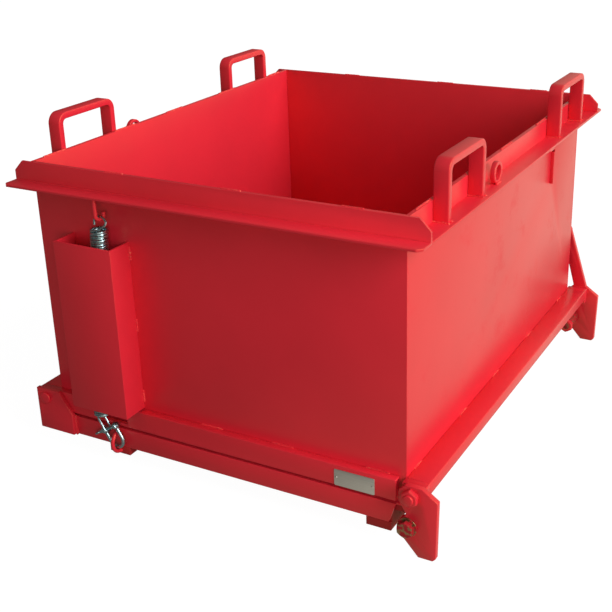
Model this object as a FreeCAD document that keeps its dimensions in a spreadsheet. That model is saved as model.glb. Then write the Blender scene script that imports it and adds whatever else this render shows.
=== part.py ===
import FreeCAD, Part
import math
import os
import re
import Sketcher

# Hopper with a hinged bottom flap, two swinging latches and two closing springs.
# Millimetres, +Z up, ground at zero, +X to the latch side, the hinge at -X, the front at -Y.

SIZES = [
    # Hopper box
    ("hopper_width", 820, "outside of the side walls, along X"),
    ("hopper_depth", 1000, "outside of the front and back walls, along Y"),
    ("wall_sheet", 4, "sheet of the walls"),
    ("ledge_height", 144, "ground to the top of the base ledge"),
    ("wall_rise", 506, "base ledge to the top of the walls"),
    ("slot_inset", 206, "back wall to the near edge of the wall slot"),
    ("slot_width", 28, "wall slot along Y"),
    ("slot_bottom", 340, "base ledge to the bottom of the wall slot"),
    ("slot_tall", 75, "height of the wall slot"),
    ("slot_lip_reach", 8, "how far the slot's lip stands out"),
    # Rim of angle bar
    ("rim_leg", 45, "both legs of the rim's angle bar"),
    ("rim_sheet", 5, "thickness of the rim's angle bar"),
    ("rim_corner_cut", 21, "cut at the upper corners of the long rims"),
    ("rim_foot_cut", 10, "cut at the outer corners of the long rims"),
    # Lifting loops and eyes
    ("loop_length", 178, "lifting loop along Y"),
    ("loop_width", 30, "flat bar of the loop, along X"),
    ("loop_bar", 14, "thickness of the loop's flat bar"),
    ("loop_rise", 114, "rim flange to the top of the loop"),
    ("loop_bend", 24, "outer bend of the loop"),
    ("loop_inset", 183, "front or back wall to the middle of its loops"),
    ("eye_radius", 22, "outside of the ring eyes"),
    ("eye_bore", 15, "hole of the ring eyes"),
    ("eye_thick", 10, "ring eyes along X"),
    ("eye_outset", 15, "rim's upright to the ring eyes"),
    ("eye_spacing", 172, "middle of the front loops to the ring eyes"),
    ("eye_seat", 0.5, "depth of the flat under each ring eye"),
    # Base frame
    ("frame_sheet", 5, "sheet of the base frame"),
    ("side_ledge", 46.4, "base ledge outside the side walls"),
    ("side_lip", 25.8, "lip under the side ledge"),
    ("front_ledge", 17.2, "base ledge outside the front and back walls"),
    ("front_leg", 44.7, "depth of the front and back legs"),
    ("leg_short", 14, "front leg ends this far inside the right wall"),
    ("notch_left_room", 32, "shackle's pin to the left edge of the leg's notch"),
    ("notch_right_room", 36, "shackle's pin to the right edge of that notch"),
    ("notch_deep", 38, "depth of that notch"),
    ("plate_inset", 56.7, "right wall to the nameplate"),
    ("plate_wide", 84.8, "nameplate along X"),
    ("plate_tall", 35, "nameplate height"),
    ("plate_drop", 8.7, "ledge top to the nameplate"),
    ("plate_sheet", 1.2, "nameplate sheet"),
    # Flap
    ("flap_gap", 5.8, "gap between the base legs and the flap"),
    ("running_gap", 0.4, "clearance of faces that pass each other"),
    ("bore_gap", 0.1, "radial clearance of turning bores"),
    ("seat_gap", 0.05, "radial clearance of clamped bores"),
    ("flap_sheet", 4, "floor panel"),
    ("band_sheet", 5, "front and back bands of the flap"),
    ("band_tall", 43.1, "height of the bands"),
    ("band_slant", 14, "slant of the bands' right ends"),
    ("flap_left_reach", 5, "flap past the left wall"),
    ("flap_right_reach", 2, "floor panel past the right wall"),
    ("beam_wide", 52, "cross beams along X"),
    ("beam_tall", 57.6, "cross beams' height"),
    ("beam_wall", 4, "wall of the cross beams"),
    ("beam_left_inset", 161.5, "left wall to the middle of the left cross beam"),
    ("beam_right_inset", 49.5, "right wall to the middle of the right cross beam"),
    ("catch_tall", 16, "catch bars under the flap's right edge"),
    ("catch_long", 46, "catch bars along Y"),
    ("catch_inset", 4, "catch bars back from the flap's band"),
    # Hinge
    ("hinge_outset", 22, "side walls out to the hinge and latch axes"),
    ("hinge_drop", 17, "ledge top down to both axes"),
    ("hinge_plate_thick", 10, "hinge plates"),
    ("hinge_plate_rise", 3, "ledge top up to the hinge plates' top"),
    ("hinge_plate_short", 15, "left wall to the right end of the hinge plates' top"),
    ("hinge_plate_long", 46, "left wall to their right edge below"),
    ("pin_radius", 8, "hinge pins"),
    ("pin_head_radius", 13, "heads of the hinge pins"),
    ("pin_head_thick", 5, "heads of the hinge pins"),
    # Latch
    ("latch_thick", 12, "latch plates"),
    ("latch_top", 4, "ledge top up to the latch plates' top"),
    ("latch_top_out", 20.4, "shaft out to the end of the latch plates' top"),
    ("latch_left_in", 25, "shaft in to their upper left edge"),
    ("latch_chamfer", 13, "cut at their upper left corner"),
    ("latch_side_drop", 31, "ledge top down to the end of that edge"),
    ("latch_waist_in", 10.3, "shaft in to the waist over the roller bolt"),
    ("latch_waist_drop", 57, "ledge top down to the waist"),
    ("latch_hip_in", 21, "shaft in to the corner under the roller bolt"),
    ("latch_hip_drop", 104, "ledge top down to that corner"),
    ("latch_right_out", 52.2, "shaft out to the right shoulder"),
    ("latch_shoulder_drop", 18, "ledge top down to the shoulder"),
    ("foot_left_out", 14.4, "shaft out to the left end of the feet"),
    ("foot_right_out", 43.5, "shaft out to the right end of the feet"),
    ("foot_round", 6, "blunted corner of the feet"),
    ("shaft_radius", 10, "latch shaft and roller bolts"),
    ("shaft_stub", 4, "shaft past its nuts"),
    ("roller_in", 7, "shaft in to the rollers"),
    ("roller_radius", 12.5, "rollers that hold the flap up"),
    ("roller_long", 58, "rollers along Y"),
    ("boss_radius", 20, "round of the latch plate at the roller bolt"),
    ("hex_half", 15, "half across the flats of nuts and heads"),
    ("hex_thick", 12.5, "thickness of nuts and bolt heads"),
    ("washer_radius", 20, "washers"),
    ("washer_thick", 3, "washers"),
    ("bearing_in", 24, "shaft in to the left face of the bearing blocks"),
    ("bearing_tall", 36, "bearing blocks' height"),
    ("lever_rise", 150, "ledge top to the middle of the lever's round end"),
    ("lever_in", 39, "shaft in to the lever's round end"),
    ("lever_end_radius", 13, "round end of the lever"),
    ("lever_hole_radius", 6, "rope hole in the lever"),
    # Spring, its cover and links
    ("cover_inset", 84.5, "left wall to the spring cover"),
    ("cover_wide", 140.5, "spring cover along X"),
    ("cover_deep", 59, "cover out from the wall"),
    ("cover_sheet", 5, "sheet of the cover"),
    ("cover_bottom", 4, "ledge top to the cover"),
    ("cover_tall", 365, "cover height"),
    ("link_standoff", 12.5, "flap's band out to the spring's plane"),
    ("coil_radius", 16, "centre line of the spring's coil"),
    ("coil_wire_radius", 2.25, "wire of the spring"),
    ("coil_turns", 16, "whole turns of each spring; a quarter is added"),
    ("coil_end_radius", 8, "the coil's ends draw in to this"),
    ("low_hook_radius", 9, "half width of the long hook at the bottom of the spring"),
    ("low_hook_long", 52, "straight length of that hook"),
    ("low_hook_shift", 8, "middle of the shackle's pin to that hook, along the pin"),
    ("high_ring_radius", 15, "ring at the top of the spring"),
    ("pin_inset", 152, "left wall to the middle of the shackles' pins"),
    ("hook_lead", 33, "shackle's pin to the hook above, along X"),
    ("hook_bar_radius", 4, "bar of the hooks, eyes and shackles"),
    ("hook_bend", 9, "bend of the upper hook"),
    ("hook_tip", 4.5, "straight tip of the upper hook"),
    ("hook_turn", 70, "turn of the upper hook from X to the wall, in degrees"),
    ("hook_drop", 42, "rim's underside down to the bottom of the upper hook"),
    ("shackle_pin_drop", 47, "ledge top down to the shackle's pin"),
    ("shackle_lean", 30, "lean of the shackle and of the spring's bottom hook, in degrees"),
    ("shackle_bow", 17, "centre line of the shackle's bow"),
    ("shackle_long", 45, "shackle pin to the bottom of its bow"),
    ("shackle_ear_radius", 8, "ears of the shackle"),
    ("shackle_ear_half", 4.5, "half the thickness of the ears"),
    ("shackle_tip", 25, "middle of the shackle's pin to its threaded end"),
    ("shackle_eye_place", 40, "middle of the shackle's pin to the eye of its head"),
    ("shackle_eye_radius", 7.5, "flat eye of the pin's head"),
    ("shackle_eye_bore", 3, "hole of that eye"),
    ("shackle_eye_half", 2.5, "half the thickness of that eye"),
    ("link_offset", 12, "shackle's pin to the flap eye, along X"),
    ("link_sink", 33, "shackle's pin down to the middle of the flap eye"),
    ("link_room", 3.5, "gap between the shackle's leg and the bow of the flap eye"),
]

DERIVED = [
    ("half_width", "hopper_width / 2"),
    ("half_depth", "hopper_depth / 2"),
    ("wall_top", "ledge_height + wall_rise"),
    ("leg_bottom", "ledge_height - front_leg"),
    ("leg_right", "half_width - leg_short"),
    ("slot_start", "half_depth - slot_inset"),
    ("loop_place", "half_depth - loop_inset"),
    ("eye_place", "loop_place - eye_spacing"),
    ("plate_right", "half_width - plate_inset"),
    ("hinge_place", "half_width + hinge_outset"),
    ("roller_place", "hinge_place - roller_in"),
    ("beam_left_place", "half_width - beam_left_inset"),
    ("beam_right_place", "half_width - beam_right_inset"),
    ("cover_left", "half_width - cover_inset"),
    ("cover_right", "cover_left - cover_wide"),
    ("pin_place", "half_width - pin_inset"),
    ("hook_place", "pin_place - hook_lead"),
    ("latch_left", "hinge_place - latch_left_in"),
    ("latch_top_right", "hinge_place + latch_top_out"),
    ("lever_place", "hinge_place - lever_in"),
    ("rim_bottom", "wall_top - rim_leg"),
    ("flange_top", "rim_bottom + rim_sheet"),
    ("rim_side", "half_width + rim_leg"),
    ("leg_face", "half_depth + front_ledge"),
    ("flap_face", "leg_face + running_gap"),
    ("flap_top", "leg_bottom - flap_gap"),
    ("floor_under", "flap_top - flap_sheet"),
    ("band_inner", "flap_face - band_sheet"),
    ("axis_height", "ledge_height - hinge_drop"),
    ("roller_height", "floor_under - catch_tall - roller_radius"),
    ("latch_outer", "flap_face + latch_thick"),
    ("washer_outer", "latch_outer + washer_thick"),
    ("link_plane", "flap_face + link_standoff"),
    ("pin_height", "ledge_height - shackle_pin_drop"),
    ("hook_height", "rim_bottom - hook_drop"),
    ("flap_eye_bow", "link_standoff + 2 * hook_bar_radius + link_room"),
    ("beam_bottom", "floor_under - beam_tall"),
]

NAMES = {row[0] for row in SIZES + DERIVED}
SIDES = (("front", -1), ("back", 1))
HANDS = (("left", -1), ("right", 1))
PLANES = {"XY": "XY_Plane", "XZ": "XZ_Plane"}

ROUND = 360
RING_STEP = 75
RING_OPEN = 60
FIRST_TURN = 0.5
LAST_TURN = 0.25
COIL_STEPS = 4
TANGENT_STEP = 0.01
STRAIGHT = 0.001
UP = FreeCAD.Vector(0, 0, 1)
HANGING = FreeCAD.Rotation(FreeCAD.Vector(1, 0, 0), -90)

doc = FreeCAD.newDocument("bottom_hopper")
nodes = []


# The sheet and its expressions


def make_sheet():
    sheet = doc.addObject("Spreadsheet::Sheet", "Dims")
    for row, (name, value, meaning) in enumerate(SIZES, start=1):
        sheet.set(f"A{row}", name)
        sheet.set(f"B{row}", str(value))
        sheet.set(f"C{row}", meaning)
        sheet.setAlias(f"B{row}", name)
    for row, (name, formula) in enumerate(DERIVED, start=len(SIZES) + 1):
        sheet.set(f"A{row}", name)
        sheet.set(f"B{row}", f"={formula}")
        sheet.setAlias(f"B{row}", name)
    doc.recompute()
    return sheet


def bound(expression):
    """Put the sheet in front of every name that the sheet has."""
    return re.sub(r"[a-z][a-z_]*", lambda word: "Dims." * (word.group() in NAMES) + word.group(), expression)


def value(name):
    return float(dims.get(name))


def outward(side, near, far):
    """A range from near to far, on the side that the sign gives."""
    return (near, far) if side > 0 else (f"-({far})", f"-({near})")


def signed(side, expression):
    return expression if side > 0 else f"-({expression})"


# Solids


def bind(thing, **expressions):
    for name, expression in expressions.items():
        thing.setExpression(name.replace("__", "."), bound(expression))


def place(thing, x, y, z):
    bind(thing, Placement__Base__x=x, Placement__Base__y=y, Placement__Base__z=z)


def box(name, x, y, z):
    """A box over three ranges of sheet expressions."""
    solid = doc.addObject("Part::Box", name)
    bind(solid, Length=f"({x[1]}) - ({x[0]})", Width=f"({y[1]}) - ({y[0]})", Height=f"({z[1]}) - ({z[0]})")
    place(solid, x[0], y[0], z[0])
    return solid


def rod(name, axis, radius, at, along):
    """A round bar along X, Y or Z over the range along; at gives the two other places, in order."""
    solid = doc.addObject("Part::Cylinder", name)
    bind(solid, Radius=radius, Height=f"({along[1]}) - ({along[0]})")
    turns = {
        "X": FreeCAD.Rotation(FreeCAD.Vector(0, 1, 0), 90),
        "Y": FreeCAD.Rotation(FreeCAD.Vector(1, 0, 0), -90),
        "Z": FreeCAD.Rotation(),
    }
    solid.Placement.Rotation = turns[axis]
    corner = {"X": (along[0], *at), "Y": (at[0], along[0], at[1]), "Z": (*at, along[0])}
    place(solid, *corner[axis])
    return solid


def hexagon(name, at, along):
    """A nut or bolt head along Y."""
    solid = doc.addObject("Part::Prism", name)
    solid.Polygon = 6
    bind(solid, Circumradius="hex_half / cos(30)", Height=f"({along[1]}) - ({along[0]})")
    solid.Placement.Rotation = FreeCAD.Rotation(FreeCAD.Vector(1, 0, 0), -90)
    place(solid, at[0], along[0], at[1])
    return solid


def half_ring(name, bend, bar, rotation):
    """Half a ring of round bar; unturned it lies in XY and bows to +Y."""
    solid = doc.addObject("Part::Torus", name)
    bind(solid, Radius1=bend, Radius2=bar)
    solid.Angle3 = 180
    solid.Placement.Rotation = rotation
    return solid


def fuse(name, solids):
    joined = doc.addObject("Part::MultiFuse", name)
    joined.Shapes = solids
    joined.Refine = True
    return joined


def cut(name, base, tools):
    for number, tool in enumerate(tools, start=1):
        last = number == len(tools)
        result = doc.addObject("Part::Cut", name if last else f"{name}_cut")
        result.Base = base
        result.Tool = tool
        result.Refine = True
        base = result
    return base


def node(name, solid):
    solid.Label = name
    nodes.append(solid)
    return solid


def flat_part(name, plane, level, depth, outline):
    """A plate with a drawn outline, as a body with one sketch and one pad.

    From its level, an XY plate goes up and an XZ plate goes towards the front.
    """
    body = doc.addObject("PartDesign::Body", name)
    origin = next(item for item in body.Origin.OriginFeatures if item.Role == PLANES[plane])
    sketch = body.newObject("Sketcher::SketchObject", f"{name}_sketch")
    sketch.AttachmentSupport = [(origin, "")]
    sketch.MapMode = "FlatFace"
    bind(sketch, AttachmentOffset__Base__z=f"-({level})" if plane == "XZ" else level)
    draw_outline(sketch, outline)
    pad = body.newObject("PartDesign::Pad", f"{name}_pad")
    pad.Profile = sketch
    bind(pad, Length=depth)
    return body


def draw_outline(sketch, outline):
    """Draw a regular polygon first; its corners' ties to the sheet then give the real outline."""
    turn = 2 * math.pi / len(outline)
    rough = [FreeCAD.Vector(math.cos(turn * step), math.sin(turn * step), 0) for step in range(len(outline))]
    for start, end in zip(rough, rough[1:] + rough[:1]):
        sketch.addGeometry(Part.LineSegment(start, end))
    for index in range(len(outline)):
        before = (index - 1) % len(outline)
        sketch.addConstraint(Sketcher.Constraint("Coincident", before, 2, index, 1))
    for index, corner in enumerate(outline):
        tie_corner(sketch, index, "X", rough[index].x, corner[0])
        tie_corner(sketch, index, "Y", rough[index].y, corner[1])


def tie_corner(sketch, index, direction, rough, expression):
    """Tie one of a corner's two distances from the origin to the sheet."""
    tie = sketch.addConstraint(Sketcher.Constraint(f"Distance{direction}", -1, 1, index, 1, rough))
    sketch.renameConstraint(tie, f"corner{index}{direction}")
    sketch.setExpression(f"Constraints.corner{index}{direction}", bound(expression))


# Hopper


def make_walls():
    height = ("leg_bottom", "wall_top")
    inner = "half_depth - wall_sheet"
    for name, side in SIDES:
        across = ("-half_width", "half_width")
        node(f"wall_{name}", box("Wall", across, outward(side, inner, "half_depth"), height))
    for name, hand in HANDS:
        through = outward(hand, "half_width - wall_sheet", "half_width")
        wall = box("Wall", through, (f"-({inner})", inner), height)
        if hand > 0:
            slot = box(
                "Slot",
                ("half_width - 2 * wall_sheet", "half_width + wall_sheet"),
                ("slot_start", "slot_start + slot_width"),
                ("ledge_height + slot_bottom", "ledge_height + slot_bottom + slot_tall"),
            )
            wall = cut("WallSlotted", wall, [slot])
        node(f"wall_{name}", wall)
    lip = box(
        "SlotLip",
        ("half_width", "half_width + slot_lip_reach"),
        ("slot_start - wall_sheet", "slot_start"),
        ("ledge_height + slot_bottom", "ledge_height + slot_bottom + slot_tall"),
    )
    node("slot_lip", lip)


def make_rims():
    """Angle bars round the top: the long ones at the front and back have cut corners."""
    leg = [
        ("-rim_side", "rim_bottom"),
        ("rim_side", "rim_bottom"),
        ("rim_side", "wall_top - rim_corner_cut"),
        ("rim_side - rim_corner_cut", "wall_top"),
        ("-(rim_side - rim_corner_cut)", "wall_top"),
        ("-rim_side", "wall_top - rim_corner_cut"),
    ]
    for name, side in SIDES:
        face = outward(side, "half_depth", "half_depth + rim_sheet")
        near = signed(side, "half_depth + rim_sheet")
        far = signed(side, "half_depth + rim_leg")
        cut_in = signed(side, "half_depth + rim_leg - rim_foot_cut")
        flange = [
            ("-rim_side", near),
            ("rim_side", near),
            ("rim_side", cut_in),
            ("rim_side - rim_foot_cut", far),
            ("-(rim_side - rim_foot_cut)", far),
            ("-rim_side", cut_in),
        ]
        upright = flat_part(f"RimLeg_{name}", "XZ", face[1], "rim_sheet", leg)
        foot = flat_part(f"RimFoot_{name}", "XY", "rim_bottom", "rim_sheet", flange)
        node(f"rim_{name}", fuse(f"Rim_{name}", [upright, foot]))
    for name, hand in HANDS:
        along = ("-half_depth", "half_depth")
        near = outward(hand, "half_width", "half_width + rim_sheet")
        far = outward(hand, "half_width + rim_sheet", "rim_side")
        upright = box("RimLeg", near, along, ("rim_bottom", "wall_top"))
        foot = box("RimFoot", far, along, ("rim_bottom", "flange_top"))
        node(f"rim_{name}", fuse(f"Rim_{name}", [upright, foot]))


def arch(name, x, middle, half, top, bend):
    """A block on the rim's flange, along Y, with its two upper edges rounded."""
    wide = (f"{middle} - ({half})", f"{middle} + ({half})")
    low = box("ArchLow", x, wide, ("flange_top", f"{top} - ({bend})"))
    flat = (f"{middle} - ({half}) + ({bend})", f"{middle} + ({half}) - ({bend})")
    high = box("ArchHigh", x, flat, ("flange_top", top))
    rounds = [rod("ArchRound", "X", bend, (place_y, f"{top} - ({bend})"), x) for place_y in flat]
    return fuse(name, [low, high, *rounds])


def make_loops():
    for hand_name, hand in HANDS:
        x = outward(hand, "half_width + rim_sheet", "half_width + rim_sheet + loop_width")
        wide = outward(hand, "half_width", "half_width + rim_sheet + 2 * loop_width")
        for side_name, side in SIDES:
            middle = signed(side, "loop_place")
            outside = arch("LoopOutside", x, middle, "loop_length / 2", "flange_top + loop_rise", "loop_bend")
            inside = arch(
                "LoopInside",
                wide,
                middle,
                "loop_length / 2 - loop_bar",
                "flange_top + loop_rise - loop_bar",
                "loop_bend - loop_bar",
            )
            node(f"loop_{side_name}_{hand_name}", cut("Loop", outside, [inside]))


def make_ring_eyes():
    """Flat rings that stand on the rim's flange."""
    for name, hand in HANDS:
        near = "half_width + rim_sheet + eye_outset"
        through = outward(hand, near, f"{near} + eye_thick")
        at = ("-eye_place", "flange_top + eye_radius - eye_seat")
        ring = rod("EyeRing", "X", "eye_radius", at, through)
        bore = rod("EyeBore", "X", "eye_bore", at, through)
        across = ("-eye_place - eye_radius", "-eye_place + eye_radius")
        seat = box("EyeSeat", through, across, ("rim_bottom", "flange_top"))
        node(f"ring_eye_{name}", cut("Eye", ring, [bore, seat]))


def make_base_frame():
    leg_range = ("-(half_width + side_ledge)", "leg_right")
    notch_x = ("-(pin_place + notch_left_room)", "-(pin_place - notch_right_room)")
    for name, side in SIDES:
        leg_y = outward(side, "leg_face - frame_sheet", "leg_face")
        leg = box("BaseLeg", leg_range, leg_y, ("leg_bottom", "ledge_height"))
        shelf_y = outward(side, "half_depth", "leg_face - frame_sheet")
        shelf = box("BaseShelf", leg_range, shelf_y, ("ledge_height - frame_sheet", "ledge_height"))
        angle = fuse("BaseAngle", [leg, shelf])
        notch_y = outward(side, "half_depth", "leg_face + frame_sheet")
        notch_z = ("ledge_height - notch_deep", "ledge_height + frame_sheet")
        notch = box("SpringNotch", notch_x, notch_y, notch_z)
        bore = rod("PinBore", "Y", "pin_radius + seat_gap", ("-hinge_place", "axis_height"), notch_y)
        node(f"base_{name}", cut("Base", angle, [notch, bore]))
    for name, hand in HANDS:
        along = ("-half_depth", "half_depth")
        edge = "half_width + side_ledge"
        shelf_x = outward(hand, "half_width", edge)
        shelf = box("SideShelf", shelf_x, along, ("ledge_height - frame_sheet", "ledge_height"))
        lip_x = outward(hand, f"{edge} - frame_sheet", edge)
        lip = box("SideLip", lip_x, along, ("ledge_height - side_lip", "ledge_height"))
        node(f"base_{name}", fuse("BaseSide", [shelf, lip]))


def make_bearing_blocks():
    for name, side in SIDES:
        block = box(
            "BearingBlock",
            ("hinge_place - bearing_in", "half_width + side_ledge"),
            outward(side, "half_depth", "leg_face"),
            ("ledge_height - bearing_tall", "ledge_height"),
        )
        through = outward(side, "half_depth - frame_sheet", "leg_face + frame_sheet")
        bore = rod("ShaftBore", "Y", "shaft_radius + bore_gap", ("hinge_place", "axis_height"), through)
        node(f"bearing_block_{name}", cut("Bearing", block, [bore]))


def make_hinge_pins():
    at = ("-hinge_place", "axis_height")
    plate_outer = "flap_face + hinge_plate_thick"
    under_shelf = "hinge_drop - frame_sheet - running_gap"
    for name, side in SIDES:
        inner_head = outward(side, "leg_face - frame_sheet - pin_head_thick", "leg_face - frame_sheet")
        outer_head = outward(side, f"{plate_outer} + seat_gap", f"{plate_outer} + seat_gap + pin_head_thick")
        shank = outward(side, "leg_face - frame_sheet", f"{plate_outer} + seat_gap")
        pieces = [
            rod("PinInnerHead", "Y", under_shelf, at, inner_head),
            rod("PinShank", "Y", "pin_radius", at, shank),
            rod("PinOuterHead", "Y", "pin_head_radius", at, outer_head),
        ]
        node(f"hinge_pin_{name}", fuse("HingePin", pieces))


def make_nameplate():
    plate = box(
        "Nameplate",
        ("plate_right - plate_wide", "plate_right"),
        outward(-1, "leg_face", "leg_face + plate_sheet"),
        ("ledge_height - plate_drop - plate_tall", "ledge_height - plate_drop"),
    )
    node("nameplate", plate)


def make_spring_covers():
    low = "ledge_height + cover_bottom"
    inside_top = f"{low} + cover_tall + cover_sheet"
    for name, side in SIDES:
        outer_y = outward(side, "half_depth", "half_depth + cover_deep")
        shell = box("CoverShell", ("-cover_left", "-cover_right"), outer_y, (low, f"{low} + cover_tall"))
        hollow_x = ("-cover_left + cover_sheet", "-cover_right - cover_sheet")
        hollow_y = outward(side, "half_depth - cover_sheet", "half_depth + cover_deep - cover_sheet")
        hollow = box("CoverHollow", hollow_x, hollow_y, (f"{low} - cover_sheet", inside_top))
        node(f"spring_cover_{name}", cut("Cover", shell, [hollow]))


def make_spring_hooks():
    """Hooks under the rim's flange, drawn in XZ round their bend and then turned towards the wall."""
    for name, side in SIDES:
        pieces = [
            half_ring("HookBend", "hook_bend", "hook_bar_radius", HANGING),
            rod("HookStem", "Z", "hook_bar_radius", ("-hook_bend", "0"), ("0", "hook_drop - hook_bend")),
            rod("HookTip", "Z", "hook_bar_radius", ("hook_bend", "0"), ("0", "hook_tip")),
        ]
        hook = fuse("Hook", pieces)
        hook.Placement.Rotation = FreeCAD.Rotation(UP * -side, 1)
        bind(hook, Placement__Rotation__Angle="hook_turn")
        place(hook, "-hook_place", signed(side, "link_plane"), "hook_height + hook_bend")
        node(f"spring_hook_{name}", hook)


# Flap


def make_flap():
    left = "-(half_width + flap_left_reach)"
    band = [
        (left, "flap_top"),
        ("leg_right", "flap_top"),
        ("leg_right - band_slant", "flap_top - band_tall"),
        (left, "flap_top - band_tall"),
    ]
    floor_x = (left, "half_width + flap_right_reach")
    floor = box("Floor", floor_x, ("-band_inner", "band_inner"), ("floor_under", "flap_top"))
    node("floor_panel", floor)
    for name, side in SIDES:
        face = outward(side, "band_inner", "flap_face")
        node(f"band_{name}", flat_part(f"Band_{name}", "XZ", face[1], "band_sheet", band))
        catch_y = outward(side, "band_inner - catch_inset - catch_long", "band_inner - catch_inset")
        catch_x = ("beam_right_place + beam_wide / 2", "hinge_place")
        catch_z = ("floor_under - catch_tall", "floor_under")
        node(f"catch_bar_{name}", box("Catch", catch_x, catch_y, catch_z))
    make_cross_beam("left", "-beam_left_place")
    make_cross_beam("right", "beam_right_place")


def make_cross_beam(name, middle):
    """A closed box section under the floor; its ends pass under the bands."""
    half = "beam_wide / 2"
    outside = box(
        "BeamOutside",
        (f"{middle} - {half}", f"{middle} + {half}"),
        ("-flap_face", "flap_face"),
        ("beam_bottom", "floor_under"),
    )
    hollow_end = "band_inner - beam_wall"
    hollow = box(
        "BeamHollow",
        (f"{middle} - {half} + beam_wall", f"{middle} + {half} - beam_wall"),
        (f"-({hollow_end})", hollow_end),
        ("beam_bottom + beam_wall", "floor_under - beam_wall"),
    )
    ends = []
    for _, side in SIDES:
        end_y = outward(side, "band_inner", "flap_face + band_sheet")
        end_x = (f"{middle} - beam_wide", f"{middle} + beam_wide")
        ends.append(box("BeamEnd", end_x, end_y, ("flap_top - band_tall", "flap_top")))
    node(f"cross_beam_{name}", cut(f"Beam_{name}", outside, [hollow, *ends]))


def make_hinge_plates():
    """Plates on the flap's bands that reach up to the hinge pins."""
    left = "-(half_width + side_ledge)"
    top = "ledge_height + hinge_plate_rise"
    low = "flap_top - band_tall"
    outline = [
        (left, low),
        ("-(half_width - hinge_plate_long)", low),
        ("-(half_width - hinge_plate_long)", "leg_bottom"),
        ("-(half_width - hinge_plate_short)", top),
        (left, top),
    ]
    for name, side in SIDES:
        face = outward(side, "flap_face", "flap_face + hinge_plate_thick")
        plate = flat_part(f"HingePlate_{name}", "XZ", face[1], "hinge_plate_thick", outline)
        bore = rod("HingeBore", "Y", "pin_radius + bore_gap", ("-hinge_place", "axis_height"), face)
        node(f"hinge_plate_{name}", cut("Hinge", plate, [bore]))


def make_flap_eyes():
    """Bent bars, welded to the band above and to the left beam below."""
    for name, side in SIDES:
        turn = FreeCAD.Rotation(FreeCAD.Vector(0, 1, 0), 90)
        if side < 0:
            turn = FreeCAD.Rotation(FreeCAD.Vector(0, 0, 1), 180).multiply(turn)
        bow = half_ring("FlapEye", "flap_eye_bow", "hook_bar_radius", turn)
        place(bow, "-pin_place + link_offset", signed(side, "flap_face"), "pin_height - link_sink")
        node(f"spring_eye_{name}", bow)


def make_shackles():
    """A bow with two ears and a pin, drawn hanging from the pin and then leant over."""
    for name, side in SIDES:
        legs_down = "-(shackle_long - shackle_bow)"
        bow = half_ring("ShackleBow", "shackle_bow", "hook_bar_radius", HANGING)
        place(bow, "0", "0", legs_down)
        pieces = [bow]
        for _, hand in HANDS:
            leg_x = signed(hand, "shackle_bow")
            pieces.append(rod("ShackleLeg", "Z", "hook_bar_radius", (leg_x, "0"), (legs_down, "0")))
            ear = (f"{leg_x} - shackle_ear_half", f"{leg_x} + shackle_ear_half")
            pieces.append(rod("ShackleEar", "X", "shackle_ear_radius", ("0", "0"), ear))
        neck = "-(shackle_eye_place - shackle_eye_radius + hook_bar_radius / 2)"
        pieces.append(rod("ShacklePin", "X", "hook_bar_radius", ("0", "0"), (neck, "shackle_tip")))
        eye_at = ("-shackle_eye_place", "0")
        eye_range = ("-shackle_eye_half", "shackle_eye_half")
        eye = rod("ShackleEye", "Z", "shackle_eye_radius", eye_at, eye_range)
        bore = rod("ShackleBore", "Z", "shackle_eye_bore", eye_at, ("-hook_bar_radius", "hook_bar_radius"))
        pieces.append(cut("ShackleHead", eye, [bore]))
        shackle = fuse("Shackle", pieces)
        shackle.Placement.Rotation = FreeCAD.Rotation(FreeCAD.Vector(0, -1, 0), 1)
        bind(shackle, Placement__Rotation__Angle="shackle_lean")
        place(shackle, "-pin_place", signed(side, "link_plane"), "pin_height")
        node(f"shackle_{name}", shackle)


# Latch


def make_latch_plates():
    """Hanging plates with the shaft's bore above, the roller's bore below and a foot."""
    top = "ledge_height + latch_top"
    outline = [
        ("latch_left + latch_chamfer", top),
        ("latch_left", f"{top} - latch_chamfer"),
        ("latch_left", "ledge_height - latch_side_drop"),
        ("hinge_place - latch_waist_in", "ledge_height - latch_waist_drop"),
        ("hinge_place - latch_hip_in", "ledge_height - latch_hip_drop"),
        ("hinge_place + foot_left_out", "0"),
        ("hinge_place + foot_right_out", "0"),
        ("hinge_place + foot_right_out + foot_round", "foot_round"),
        ("hinge_place + latch_right_out", "ledge_height - latch_shoulder_drop"),
        ("latch_top_right", top),
    ]
    for name, side in SIDES:
        face = outward(side, "flap_face", "latch_outer")
        plate = flat_part(f"LatchPlate_{name}", "XZ", face[1], "latch_thick", outline)
        boss = rod("LatchBoss", "Y", "boss_radius", ("roller_place", "roller_height"), face)
        places = (("hinge_place", "axis_height"), ("roller_place", "roller_height"))
        bores = [rod("LatchBore", "Y", "shaft_radius + seat_gap", at, face) for at in places]
        node(f"latch_plate_{name}", cut("Latch", fuse("LatchSolid", [plate, boss]), bores))


def make_release_lever():
    """An arm welded on top of the back latch plate, with a hole for a pull rope."""
    foot = "ledge_height + latch_top"
    end = "ledge_height + lever_rise"
    outline = [
        ("latch_left + latch_chamfer", foot),
        ("latch_top_right", foot),
        ("lever_place + lever_end_radius", end),
        ("lever_place - lever_end_radius", end),
    ]
    face = ("flap_face", "latch_outer")
    arm = flat_part("LeverArm", "XZ", face[1], "latch_thick", outline)
    tip = rod("LeverTip", "Y", "lever_end_radius", ("lever_place", end), face)
    hole = rod("LeverHole", "Y", "lever_hole_radius", ("lever_place", end), face)
    node("release_lever", cut("Lever", fuse("LeverSolid", [arm, tip]), [hole]))


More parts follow.
